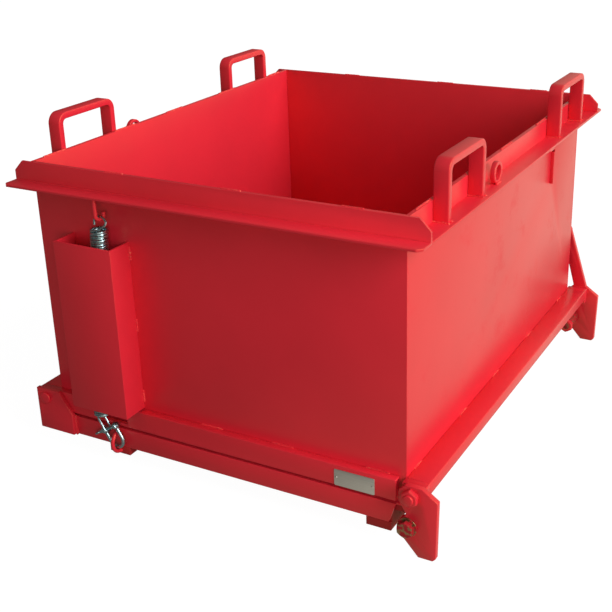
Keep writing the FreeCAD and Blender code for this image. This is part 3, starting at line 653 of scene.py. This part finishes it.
def bend(centre, axis, degrees, steps=BEND_STEPS):
    """Turn the selected section about the centre; the operator counts the other way round."""
    bpy.ops.mesh.spin(steps=steps, angle=-math.radians(degrees), center=centre, axis=axis)


def close_ends():
    bpy.ops.mesh.select_all(action="SELECT")
    bpy.ops.mesh.remove_doubles(threshold=MERGE)
    bpy.ops.mesh.fill_holes(sides=0)
    bpy.ops.mesh.normals_make_consistent(inside=False)
    done()


def count_open_edges(piece):
    uses = {}
    for polygon in piece.data.polygons:
        for key in polygon.edge_keys:
            uses[key] = uses.get(key, 0) + 1
    return sum(1 for times in uses.values() if times != 2)


# %% [markdown]
# Lifting loops
#
# Four loops of flat bar stand on the rim, for a crane's chain hooks or a pair of forks. Each is one bar,
# bent twice. One loop is modelled, and the others are copies moved to their nodes.

# %% Lifting loops
def make_loop():
    low, high = corners_of("loop_front_left")
    middle_x = (low.x + high.x) / 2
    wide = high.x - low.x
    rise = high.z - low.z - LOOP_BEND
    piece = flat_section((middle_x, low.y + LOOP_BAR / 2, low.z), wide, LOOP_BAR)
    run(0, 0, rise)
    bend((middle_x, low.y + LOOP_BEND, low.z + rise), (1, 0, 0), -90)
    run(0, high.y - low.y - 2 * LOOP_BEND, 0)
    bend((middle_x, high.y - LOOP_BEND, low.z + rise), (1, 0, 0), -90)
    run(0, 0, -rise)
    close_ends()
    round_edges(piece, BAR_EDGE, segments=3, angle=50)
    return piece


first_loop = make_loop()
print("loop: open edges", count_open_edges(first_loop))
first_low = Vector(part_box("loop_front_left")[0])
for side_name, _ in SIDES:
    for hand_name, _ in HANDS:
        node = f"loop_{side_name}_{hand_name}"
        copy = twin(first_loop, shift=Vector(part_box(node)[0]) - first_low)
        finish(copy, f"{node}_bar", "hopper", bar_paint, [node])
bpy.data.objects.remove(first_loop)

# %% [markdown]
# Ring eyes
#
# A flat ring stands on each long side of the rim, for a rope or a safety chain. Its section is a small
# rectangle, spun once round. Its foot is cut flat where it is welded on, and the left ring is the
# right one's mirror image.

# %% Ring eyes
def make_ring_eye():
    low, high = corners_of("ring_eye_right")
    radius = (high.y - low.y) / 2
    middle = Vector(((low.x + high.x) / 2, (low.y + high.y) / 2, high.z - radius))
    start = (middle.x, middle.y, middle.z + radius - EYE_WALL / 2)
    piece = flat_section(start, high.x - low.x, EYE_WALL)
    bpy.ops.transform.rotate(value=math.radians(90), orient_axis="X", center_override=start)
    bend(middle, (1, 0, 0), 360, steps=48)
    bpy.ops.mesh.select_all(action="SELECT")
    bpy.ops.mesh.remove_doubles(threshold=MERGE)
    bpy.ops.mesh.bisect(
        plane_co=(0, 0, flange_top), plane_no=(0, 0, 1), use_fill=True, clear_inner=True)
    bpy.ops.mesh.select_all(action="SELECT")
    bpy.ops.mesh.normals_make_consistent(inside=False)
    done()
    round_edges(piece, PLATE_EDGE, segments=3, angle=50)
    return piece


right_eye = make_ring_eye()
print("ring eye: open edges", count_open_edges(right_eye))
left_eye = twin(right_eye, flip=(-1, 1, 1))
finish(right_eye, "ring_eye_right_ring", "hopper", bar_paint, ["ring_eye_right"])
finish(left_eye, "ring_eye_left_ring", "hopper", bar_paint, ["ring_eye_left"])

# %% [markdown]
# Hooks and eyes for the springs
#
# A J hook hangs under the rim's flange and carries the upper end of each spring. A bent eye on the flap
# carries the lower end through a shackle. Both are round bar. The front ones are modelled, and the back
# ones are their mirror images.

# %% Spring hooks and flap eyes
def make_hook():
    """The hook is drawn round the middle of its bend and then turned towards the wall."""
    low, high = corners_of("spring_hook_front")
    middle = Vector((HOOK_X, -link_plane, low.z + LINK_BAR + HOOK_BEND))
    piece = round_section((-HOOK_BEND, 0, high.z - middle.z), LINK_BAR)
    run(0, 0, middle.z - high.z)
    bend((0, 0, 0), (0, 1, 0), -180, steps=18)
    run(0, 0, HOOK_TIP)
    close_ends()
    round_edges(piece, LINK_BAR / 3, segments=3, angle=60)
    piece.rotation_euler = (0, 0, HOOK_TURN)
    piece.location = middle
    settle(piece)
    return piece


def make_flap_eye():
    low, high = corners_of("spring_eye_front")
    x = (low.x + high.x) / 2
    middle_z = (low.z + high.z) / 2
    bow = (high.z - low.z) / 2 - LINK_BAR
    piece = round_section((x, -flap_face, middle_z + bow), LINK_BAR, turn=(math.radians(90), 0, 0))
    bend((x, -flap_face, middle_z), (1, 0, 0), 180, steps=22)
    close_ends()
    return piece


for kind, body, maker in (("spring_hook", "hopper", make_hook), ("spring_eye", "flap", make_flap_eye)):
    front = maker()
    print(kind, "open edges", count_open_edges(front))
    back = twin(front, flip=(1, -1, 1))
    finish(front, f"{kind}_front_bar", body, bar_paint, [f"{kind}_front"])
    finish(back, f"{kind}_back_bar", body, bar_paint, [f"{kind}_back"])

# %% [markdown]
# Closing springs
#
# Each spring is one wire: a hook round the shackle's pin, a coil wound turn on turn, and a ring over the
# upper hook. The points follow from the wire, the coil's radius and the two ends, so a short function
# works them out, and a curve with a round bevel becomes the wire. The CAD spring has few, open turns and
# a longer lower hook. This one is close wound from end to end, and stays inside the same box.

# %% The path of a spring's wire
WIRE = 2.15 * MM
COIL_RADIUS = 16 * MM
LOW_END_RADIUS = 8 * MM
COIL_HIGH_SHIFT = Vector((-8.3 * MM, 4 * MM, 2 * MM))
LONG_HOOK_RADIUS = 9 * MM
LONG_HOOK = 24 * MM
LONG_HOOK_SHIFT = 8 * MM
TOP_RING = 15 * MM
TOP_RING_END = 284
TOP_RING_LEAD = 120
HOOK_TIP_ANGLE = -126
TURN_RISE = 4.3 * MM
TURN_POINTS = 20
ARC_STEP = 12
SEAT = 0.05 * MM
LEAN = math.radians(30)
UP = Vector((0, 0, 1))
ACROSS_X = Vector((1, 0, 0))
ACROSS_Y = Vector((0, 1, 0))
PIN_X = -258 * MM
PIN_BELOW_LEDGE = 47 * MM
pin_place = Vector((PIN_X, -link_plane, ledge_top - PIN_BELOW_LEDGE))
pin_way = Vector((math.cos(LEAN), 0, math.sin(LEAN)))
hook_up = Vector((-math.sin(LEAN), 0, math.cos(LEAN)))
grip = LINK_BAR + WIRE + SEAT


def arc(middle, radius, across, up, start, end):
    """Points round a ring; zero degrees is its bottom."""
    count = round((end - start) / ARC_STEP)
    points = []
    for step in range(count + 1):
        angle = math.radians(start + (end - start) * step / count)
        aside, down = radius * math.sin(angle), radius * math.cos(angle)
        points.append(middle + across * aside - up * down)
    return points


def smooth(share):
    """Ease from zero to one."""
    share = min(max(share, 0), 1)
    return share * share * (3 - 2 * share)


def coil(bottom, top):
    """Close turns; the first one winds out from the long hook."""
    turns = round((top.z - bottom.z) / TURN_RISE) + 0.25
    points = []
    for step in range(1, round(turns * TURN_POINTS)):
        turn = step / TURN_POINTS
        radius = LOW_END_RADIUS + (COIL_RADIUS - LOW_END_RADIUS) * smooth(turn)
        angle = 2 * math.pi * (turn + 0.5)
        axis = bottom.lerp(top, turn / turns)
        points.append(axis + Vector((radius * math.cos(angle), radius * math.sin(angle), 0)))
    print("spring: turns", turns)
    return points


def spring_points():
    """The hook's tip, its bend and its long side, then the coil, then the ring, led in from the coil."""
    low = pin_place - pin_way * LONG_HOOK_SHIFT + hook_up * (LONG_HOOK_RADIUS - grip)
    high = low + hook_up * LONG_HOOK
    hook_low = Vector(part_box("spring_hook_front")[0])
    ring = Vector((HOOK_X, -link_plane, hook_low.z + LINK_BAR + grip - TOP_RING))
    coil_low = high + hook_up * LONG_HOOK_RADIUS + Vector((LOW_END_RADIUS, 0, 0))
    coil_high = ring - UP * TOP_RING + COIL_HIGH_SHIFT
    points = arc(high, LONG_HOOK_RADIUS, ACROSS_Y, hook_up, HOOK_TIP_ANGLE, -90)
    points += arc(low, LONG_HOOK_RADIUS, ACROSS_Y, hook_up, -90, 90)
    points += arc(high, LONG_HOOK_RADIUS, ACROSS_Y, hook_up, 90, 180)
    points += coil(coil_low, coil_high)
    lead = points[-1] - (ring - UP * TOP_RING)
    for step, place in enumerate(arc(ring, TOP_RING, ACROSS_X, UP, 0, TOP_RING_END)):
        points.append(place + lead * (1 - smooth(step * ARC_STEP / TOP_RING_LEAD)))
    return points


# %% Springs
def make_spring():
    points = spring_points()
    wire = bpy.data.curves.new("wire", "CURVE")
    wire.dimensions = "3D"
    wire.bevel_depth = WIRE
    wire.bevel_resolution = 2
    wire.use_fill_caps = True
    spline = wire.splines.new("POLY")
    spline.points.add(len(points) - 1)
    for point, place in zip(spline.points, points):
        point.co = (*place, 1)
    piece = bpy.data.objects.new("wire", wire)
    bpy.context.scene.collection.objects.link(piece)
    only(piece)
    bpy.ops.object.convert(target="MESH")
    return piece


def hang_spring(piece, name):
    """Settle, shade and paint the wire, and hide the CAD spring."""
    settle(piece)
    shade(piece)
    piece.name = f"spring_{name}_wire"
    piece.data.materials.clear()
    piece.data.materials.append(zinc)
    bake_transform(piece)
    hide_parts(f"spring_{name}")
    made.append(piece)


front_spring = make_spring()
back_spring = twin(front_spring, flip=(1, -1, 1))
hang_spring(front_spring, "front")
hang_spring(back_spring, "back")
print("spring: triangles about", 2 * len(front_spring.data.polygons))

# %% [markdown]
# Shackles
#
# A shackle is a bow with two flat ears and a pin with an eye. It joins the spring's lower hook to the
# flap's eye. It is modelled upright at the origin, with its pin along X, then leant over and moved to
# the pin's place. The ears are short, wide rods with a wide bevel.

# %% Shackles
BOW = 17 * MM
SHACKLE_LONG = 45 * MM
EAR_RADIUS = 8 * MM
EAR_THICK = 8.4 * MM
EAR_EDGE = 2 * MM
PIN_TIP = 25 * MM
PIN_RADIUS = 3.9 * MM
PIN_EYE = 40 * MM
PIN_EYE_BAR = 2.2 * MM
PIN_EYE_BEND = 5.2 * MM
COLLAR_RADIUS = 6 * MM
COLLAR_THICK = 3 * MM


def rod(middle, radius, long, axis="X", corners=32, edge=0.8 * MM):
    """A round bar with softened ends."""
    turns = {"X": (0, math.radians(90), 0), "Y": (math.radians(90), 0, 0), "Z": (0, 0, 0)}
    clear_selection()
    bpy.ops.mesh.primitive_cylinder_add(
        vertices=corners, radius=radius, depth=long, location=middle, rotation=turns[axis])
    piece = bpy.context.object
    settle(piece)
    round_edges(piece, edge, segments=3, angle=60)
    return piece


def make_shackle():
    legs = SHACKLE_LONG - BOW
    bow = round_section((-BOW, 0, 0), LINK_BAR)
    run(0, 0, -legs)
    bend((0, 0, -legs), (0, 1, 0), -180, steps=18)
    run(0, 0, legs)
    close_ends()
    ears = [rod((hand * BOW, 0, 0), EAR_RADIUS, EAR_THICK, edge=EAR_EDGE) for _, hand in HANDS]
    pin_start = PIN_EYE_BEND - PIN_EYE
    pin = rod(((PIN_TIP + pin_start) / 2, 0, 0), PIN_RADIUS, PIN_TIP - pin_start)
    collar = rod((-BOW - (EAR_THICK + COLLAR_THICK) / 2, 0, 0), COLLAR_RADIUS, COLLAR_THICK)
    clear_selection()
    bpy.ops.mesh.primitive_torus_add(
        major_radius=PIN_EYE_BEND, minor_radius=PIN_EYE_BAR,
        major_segments=32, minor_segments=12, location=(-PIN_EYE, 0, 0))
    eye = bpy.context.object
    settle(eye)
    piece = join([bow, *ears, pin, collar, eye])
    piece.rotation_euler = (0, -LEAN, 0)
    piece.location = pin_place
    settle(piece)
    return piece


front_shackle = make_shackle()
back_shackle = twin(front_shackle, flip=(1, -1, 1))
finish(front_shackle, "shackle_front_link", "flap", zinc, ["shackle_front"])
finish(back_shackle, "shackle_back_link", "flap", zinc, ["shackle_back"])
print("shackle: faces", len(front_shackle.data.polygons))

# %% [markdown]
# Bolts, nuts and washers
#
# The latch hangs on a shaft with a nut at each end, and the rollers turn on bolts. A real hexagon is cut
# from bar and turned at its face, so its corners are rounded off at an angle. A six-sided rod meets a
# wide cone in a boolean, which leaves just that curved chamfer. The cone's foot is picked by the way it
# faces and drawn out, so that the rest of the hexagon stays whole.

# %% Hexagons
HEX_ACROSS = 30 * MM
HEX_THICK = 12.5 * MM
CORNER = HEX_ACROSS / 2 / math.cos(math.radians(30))
CONE_RISE = 0.55
CONE_REACH = 1.2 * CORNER
CONE_FACE = HEX_ACROSS / 2 * 0.93
HEX_EDGE = 0.4 * MM
WASHER_THICK = 3 * MM
WASHER_RADIUS = 20 * MM
SHANK_RADIUS = 10 * MM


def hexagon(middle, side, thick=HEX_THICK):
    """A nut or head along Y; its chamfered face points out to the given side."""
    clear_selection()
    bpy.ops.mesh.primitive_cylinder_add(vertices=6, radius=CORNER, depth=thick)
    piece = bpy.context.object
    cone_height = (CONE_REACH - CONE_FACE) * CONE_RISE
    clear_selection()
    bpy.ops.mesh.primitive_cone_add(
        vertices=72, radius1=CONE_REACH, radius2=CONE_FACE, depth=cone_height)
    cone = bpy.context.object
    cone.location.z = thick / 2 - cone.dimensions.z / 2
    settle(cone)
    edit(cone)
    bpy.ops.mesh.select_all(action="DESELECT")
    done()
    low = thick / 2 - cone_height
    for polygon in cone.data.polygons:
        polygon.select = polygon.normal.z < -0.9
    edit_selected(cone)
    bpy.ops.mesh.extrude_region_move(TRANSFORM_OT_translate={"value": (0, 0, -(low + thick))})
    done()
    cut = piece.modifiers.new("turned", "BOOLEAN")
    cut.operation = "INTERSECT"
    cut.object = cone
    apply_modifiers(piece)
    bpy.data.objects.remove(cone)
    round_edges(piece, HEX_EDGE, angle=25)
    piece.rotation_euler = (math.radians(90 if side < 0 else -90), 0, 0)
    piece.location = middle
    settle(piece)
    return piece


def make_bolts():
    shaft_low, shaft_high = corners_of("latch_nut_front")
    shaft_x = (shaft_low.x + shaft_high.x) / 2
    shaft_z = (shaft_low.z + shaft_high.z) / 2
    roller_low, roller_high = corners_of("roller_front")
    roller_x = (roller_low.x + roller_high.x) / 2
    roller_z = (roller_low.z + roller_high.z) / 2
    outer = -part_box("latch_plate_front")[0][1]
    for name, side in SIDES:
        nut = hexagon((shaft_x, side * (outer + HEX_THICK / 2), shaft_z), side)
        nut_node = f"latch_nut_{name}"
        finish(nut, f"{nut_node}_hexagon", "latch", bar_paint, [nut_node])
        inner = outer - depth_of("latch_plate_front") - depth_of("roller_front")
        head_y = side * (outer + WASHER_THICK + HEX_THICK / 2)
        head = hexagon((roller_x, head_y, roller_z), side)
        washer_place = (roller_x, side * (outer + WASHER_THICK / 2), roller_z)
        washer = rod(washer_place, WASHER_RADIUS, WASHER_THICK, "Y", corners=48)
        shank_end = inner - HEX_THICK
        shank_place = (roller_x, side * (outer + shank_end) / 2, roller_z)
        shank = rod(shank_place, SHANK_RADIUS, outer - shank_end, "Y", corners=40)
        bolt = join([head, washer, shank])
        bolt_node = f"roller_bolt_{name}"
        finish(bolt, f"{bolt_node}_set", "latch", worn_steel_in_painted_shade, [bolt_node])
        far_nut = hexagon((roller_x, side * (inner - HEX_THICK / 2), roller_z), -side)
        far_node = f"roller_nut_{name}"
        finish(far_nut, f"{far_node}_hexagon", "latch", bar_paint, [far_node])


make_bolts()
print("pieces so far:", len(made))

# %% [markdown]
# Nameplate
#
# A small bare sheet is riveted to the front leg. It carries no words here. Its corners are rounded in
# plan with a vertex bevel before the sheet gets its thickness, and two domed rivets hold it.

# %% Nameplate
PLATE_CORNER = 3 * MM
PLATE_FINE_EDGE = 0.25 * MM
RIVET_RADIUS = 2.4 * MM
RIVET_INSET = 4.5 * MM


def make_nameplate():
    low, high = corners_of("nameplate")
    middle = (low + high) / 2
    clear_selection()
    bpy.ops.mesh.primitive_plane_add(
        size=1, location=(middle.x, high.y, middle.z), rotation=(math.radians(90), 0, 0))
    piece = bpy.context.object
    piece.scale = (high.x - low.x, high.z - low.z, 1)
    settle(piece)
    edit(piece)
    bpy.ops.mesh.bevel(offset=PLATE_CORNER, segments=5, affect="VERTICES")
    bpy.ops.mesh.select_all(action="SELECT")
    run(0, low.y - high.y, 0)
    bpy.ops.mesh.select_all(action="SELECT")
    bpy.ops.mesh.normals_make_consistent(inside=False)
    done()
    round_edges(piece, PLATE_FINE_EDGE, angle=50)
    rivets = []
    for _, hand in HANDS:
        clear_selection()
        rivet_x = middle.x + hand * ((high.x - low.x) / 2 - RIVET_INSET)
        bpy.ops.mesh.primitive_uv_sphere_add(
            segments=20, ring_count=10, radius=RIVET_RADIUS, location=(rivet_x, low.y, middle.z))
        rivet = bpy.context.object
        rivet.scale.y = 0.5
        settle(rivet)
        rivets.append(rivet)
    return join([piece, *rivets])


nameplate = make_nameplate()
finish(nameplate, "nameplate_sheet", "hopper", sheet_metal, ["nameplate"])

# %% [markdown]
# Weld beads
#
# Everything on this hopper is welded. A bead laid by hand is a row of small overlapping ripples. One
# ripple is a squashed sphere of few faces, an array repeats it along the joint, and a little random
# movement with a fixed seed makes it look hand laid. All beads of one body are joined at the end.

# %% Weld helper
BEAD = 3.2 * MM
RIPPLE = 2.6 * MM
RIPPLE_SHIFT = 0.35 * MM
beads = {"hopper": [], "flap": []}


def weld(body, start, end, size=BEAD):
    """A bead from start to end, along X, Y or Z."""
    start, end = Vector(start), Vector(end)
    way = end - start
    count = max(2, round(way.length / RIPPLE))
    clear_selection()
    bpy.ops.mesh.primitive_uv_sphere_add(segments=8, ring_count=5, radius=size, location=start)
    piece = bpy.context.object
    settle(piece)
    row = piece.modifiers.new("row", "ARRAY")
    row.count = count
    row.use_relative_offset = False
    row.use_constant_offset = True
    row.constant_offset_displace = way / (count - 1)
    apply_modifiers(piece)
    edit(piece)
    bpy.ops.transform.vertex_random(offset=RIPPLE_SHIFT, uniform=0.4, seed=len(beads[body]) + count)
    done()
    beads[body].append(piece)


# %% [markdown]
# Where the beads run
#
# The rim's flange is stitched to its loops and eyes, the covers to the front and back walls, the ledge
# to the walls, and the flap's plates to its bands. Long joints are stitched in short lengths, to keep
# the thin sheet from warping.

# %% Laying the beads
RIM_STITCHES = (
    (-0.93, 60 * MM), (-0.48, 70 * MM), (-0.1, 60 * MM), (0.34, 70 * MM), (0.82, 50 * MM))
END_RIM_STITCHES = (-0.55, 0.1, 0.7)
COVER_STITCHES = (0.04, 0.48, 0.9)
LEDGE_STITCHES = (-0.62, -0.1, 0.3, 0.8)
COVER_STITCH = 24 * MM
LEDGE_STITCH = 46 * MM
END_RIM_STITCH = 40 * MM
EYE_INSET = 12 * MM
FOOT_BEAD = 2.0 * MM
LEDGE_BEAD = 2.4 * MM
RIM_BEAD = 2.6 * MM
END_RIM_BEAD = 2.2 * MM
FLAP_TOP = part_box("floor_panel")[1][2]
RIM_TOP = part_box("rim_right")[1][2]


def weld_loops(side_name):
    """A bead on each side of the loops' feet."""
    for hand_name, _ in HANDS:
        low, high = corners_of(f"loop_{side_name}_{hand_name}")
        for y in (low.y, low.y + LOOP_BAR, high.y - LOOP_BAR, high.y):
            weld("hopper", (low.x, y, flange_top), (high.x, y, flange_top))


def weld_cover(side_name, wall_y):
    low, high = corners_of(f"spring_cover_{side_name}")
    for x in (low.x, high.x):
        for share in COVER_STITCHES:
            z = low.z + share * (high.z - low.z)
            weld("hopper", (x, wall_y, z), (x, wall_y, z + COVER_STITCH))


def weld_ledge(wall_y):
    for share in LEDGE_STITCHES:
        x = share * half_width
        end = (x + LEDGE_STITCH, wall_y, ledge_top)
        weld("hopper", (x, wall_y, ledge_top), end, size=LEDGE_BEAD)


def weld_hinge_plate(side_name, band_y):
    low, high = corners_of(f"hinge_plate_{side_name}")
    weld("flap", (high.x, band_y, low.z), (high.x, band_y, FLAP_TOP))


def weld_long_walls(x):
    """Thin beads at the wall's foot, and thicker ones along the rim's top."""
    for place, length in RIM_STITCHES:
        start = place * half_depth
        end = (x, start + length / 2, ledge_top)
        weld("hopper", (x, start, ledge_top), end, size=FOOT_BEAD)
    for place, length in RIM_STITCHES:
        start = place * half_depth
        weld("hopper", (x, start, RIM_TOP), (x, start + length, RIM_TOP), size=RIM_BEAD)


def weld_end_rim(y):
    for share in END_RIM_STITCHES:
        start = share * half_width
        end = (start + END_RIM_STITCH, y, RIM_TOP)
        weld("hopper", (start, y, RIM_TOP), end, size=END_RIM_BEAD)


def weld_eye(hand):
    low, high = corners_of("ring_eye_right")
    for x in (low.x, high.x):
        start = (hand * x, low.y + EYE_INSET, flange_top)
        weld("hopper", start, (hand * x, high.y - EYE_INSET, flange_top))


def make_welds():
    """The order of the beads sets their random ripples, so it stays as it is."""
    for side_name, side in SIDES:
        weld_loops(side_name)
        weld_cover(side_name, side * half_depth)
        weld_ledge(side * half_depth)
        weld_hinge_plate(side_name, side * flap_face)
    for sign in (-1, 1):
        weld_long_walls(sign * half_width)
        weld_end_rim(sign * half_depth)
    for _, hand in HANDS:
        weld_eye(hand)


make_welds()
for body, rows in beads.items():
    bead = join(rows)
    finish(bead, f"{body}_weld_beads", body, red_paint)
    print(body, "beads:", len(bead.data.polygons), "faces")

# %% [markdown]
# Floor, light and camera
#
# The hopper stands on a plain pale floor. The floor and the world look white to the camera. Reflections
# show them too: full at the back and the right, faint at the camera's side, and a little warm. They light
# the hopper only dimly, so that its own colours stay as they are. A wide sun, low at the right, and a
# soft panel in front give the form its bright and dark sides.

# %% Floor
FLOOR_SIZE = 40.0
FLOOR_TONE = 0.12
FLOOR_GLOW = 0.97
NEAR_SIDE_GLOSS = 0.08
GLOW_START = -0.6
BACK_RIGHT = (0.94, 0.34, 0.0)
FLOOR_REACH = 1.0
WORLD_REACH = 0.5
WARM_WHITE = (1.0, 0.96, 0.78, 1)


def lit_share(tree, where, reach):
    """Share of the glow in a reflection: little at the camera's side, full at the back and right."""
    side = add_node(tree, "ShaderNodeVectorMath", operation="DOT_PRODUCT")
    side.inputs[1].default_value = BACK_RIGHT
    level = add_node(
        tree, "ShaderNodeMapRange", interpolation_type="SMOOTHSTEP",
        From_Min=GLOW_START * reach, From_Max=reach, To_Min=NEAR_SIDE_GLOSS, To_Max=1.0)
    join_sockets(tree, (where, side.inputs[0]), (side.outputs["Value"], level.inputs["Value"]))
    return level.outputs["Result"]


def studio_share(tree, where, reach):
    """One where the camera looks, the studio's glow in reflections, and zero for bounced light."""
    path = tree.nodes.new("ShaderNodeLightPath").outputs
    direct = add_node(tree, "ShaderNodeMath", operation="MAXIMUM")
    gloss = add_node(tree, "ShaderNodeMath", operation="MULTIPLY")
    both = add_node(tree, "ShaderNodeMath", operation="MAXIMUM")
    join_sockets(
        tree,
        (path["Is Camera Ray"], direct.inputs[0]),
        (path["Is Transmission Ray"], direct.inputs[1]),
        (path["Is Glossy Ray"], gloss.inputs[0]),
        (lit_share(tree, where, reach), gloss.inputs[1]),
        (direct.outputs["Value"], both.inputs[0]),
        (gloss.outputs["Value"], both.inputs[1]),
    )
    return both.outputs["Value"]


def studio_colour(tree):
    """White to the camera, and a little warm in reflections."""
    path = tree.nodes.new("ShaderNodeLightPath").outputs
    colour = add_node(tree, "ShaderNodeMix", data_type="RGBA")
    colour.inputs[MIX_FIRST].default_value = (1, 1, 1, 1)
    colour.inputs[MIX_SECOND].default_value = WARM_WHITE
    join_sockets(tree, (path["Is Glossy Ray"], colour.inputs[MIX_SHARE]))
    return colour.outputs[MIX_RESULT]


def make_floor():
    clear_selection()
    bpy.ops.mesh.primitive_plane_add(size=FLOOR_SIZE, location=(0, 0, cad_low[2]))
    floor = bpy.context.object
    floor.name = "studio_floor"
    material, tree, shader = start_material("studio_floor")
    shader["Base Color"].default_value = (*[FLOOR_TONE] * 3, 1)
    shader["Roughness"].default_value = 0.9
    shader["Specular IOR Level"].default_value = 0.0
    place = object_place(tree)
    glow = add_node(tree, "ShaderNodeMath", operation="MULTIPLY")
    glow.inputs[1].default_value = FLOOR_GLOW
    join_sockets(
        tree,
        (studio_colour(tree), shader["Emission Color"]),
        (studio_share(tree, place, FLOOR_REACH), glow.inputs[0]),
        (glow.outputs["Value"], shader["Emission Strength"]),
    )
    floor.data.materials.append(material)


make_floor()

# %% World, sun and panel
AMBIENT = 0.21
SUN_STRENGTH = 2.6
SUN_FROM = Vector((0.87, -0.07, 0.47))
SUN_SPREAD = math.radians(44)
FILL_PLACE = Vector((3.1, -5.2, 1.2))
FILL_AIM = Vector((0.0, -0.5, 0.35))
FILL_SIZE = 2.2
FILL_POWER = 76.0


def make_world():
    """Dim for bounced light, white to the camera, and the studio's glow in reflections."""
    world = bpy.data.worlds.new("studio")
    bpy.context.scene.world = world
    world.use_nodes = True
    tree = world.node_tree
    background = tree.nodes["Background"]
    direction = tree.nodes.new("ShaderNodeTexCoord").outputs["Generated"]
    gloss_or_view = studio_share(tree, direction, WORLD_REACH)
    bounce = add_node(tree, "ShaderNodeMath", operation="GREATER_THAN")
    bounce.inputs[1].default_value = 0.0
    pick = add_node(tree, "ShaderNodeMix", data_type="FLOAT")
    pick.inputs[MIX_PLAIN_FIRST].default_value = AMBIENT
    join_sockets(
        tree,
        (gloss_or_view, bounce.inputs[0]),
        (bounce.outputs["Value"], pick.inputs[MIX_SHARE]),
        (gloss_or_view, pick.inputs[MIX_PLAIN_SECOND]),
        (pick.outputs[MIX_PLAIN_RESULT], background.inputs["Strength"]),
        (studio_colour(tree), background.inputs["Color"]),
    )


def aim(lamp, way):
    """Turn a lamp so that it shines from the given way."""
    lamp.rotation_euler = way.to_track_quat("Z", "Y").to_euler()


def make_lamps():
    sun = bpy.data.lights.new("sun", "SUN")
    sun.energy = SUN_STRENGTH
    sun.angle = SUN_SPREAD
    lamp = bpy.data.objects.new("sun", sun)
    bpy.context.scene.collection.objects.link(lamp)
    aim(lamp, SUN_FROM)
    fill = bpy.data.lights.new("fill", "AREA")
    fill.energy = FILL_POWER
    fill.size = FILL_SIZE
    panel = bpy.data.objects.new("fill", fill)
    bpy.context.scene.collection.objects.link(panel)
    panel.visible_glossy = False
    panel.location = FILL_PLACE
    aim(panel, FILL_PLACE - FILL_AIM)


make_world()
make_lamps()
print("light: ambient", AMBIENT, "sun", SUN_STRENGTH, "panel", FILL_POWER)

# %% [markdown]
# Camera
#
# The camera stands where the photographer did: in front, to the right and above the rim. Its place and
# direction are written as numbers that were worked out from the hopper's straight edges. A small turn
# about the view axis and a small shift give the photograph's framing.

# %% Camera
EYE = Vector((1.1129, -2.0504, 1.2258))
LOOK = Vector((-0.44682, 0.81294, -0.37346))
ROLL = math.radians(1.46)
FOCAL = 1081.08
IMAGE = 612
CENTRE = (330.04, 277.73)
SENSOR = 36.0


def make_camera():
    data = bpy.data.cameras.new("photograph")
    data.sensor_width = SENSOR
    data.lens = FOCAL / IMAGE * SENSOR
    data.shift_x = (IMAGE / 2 - CENTRE[0]) / IMAGE
    data.shift_y = (CENTRE[1] - IMAGE / 2) / IMAGE
    data.clip_end = 100
    camera = bpy.data.objects.new("photograph", data)
    bpy.context.scene.collection.objects.link(camera)
    right = LOOK.cross(Vector((0, 0, 1))).normalized()
    up = right.cross(LOOK).normalized()
    across = right * math.cos(ROLL) - up * math.sin(ROLL)
    upward = right * math.sin(ROLL) + up * math.cos(ROLL)
    turn = Matrix((across, upward, -LOOK.normalized())).transposed()
    camera.matrix_world = Matrix.Translation(EYE) @ turn.to_4x4()
    bpy.context.scene.camera = camera
    return data


camera_data = make_camera()
bpy.context.scene.view_settings.view_transform = "Standard"
print("camera: lens", round(camera_data.lens, 2), "mm")

# %% Finish
print("pieces:", len(made))
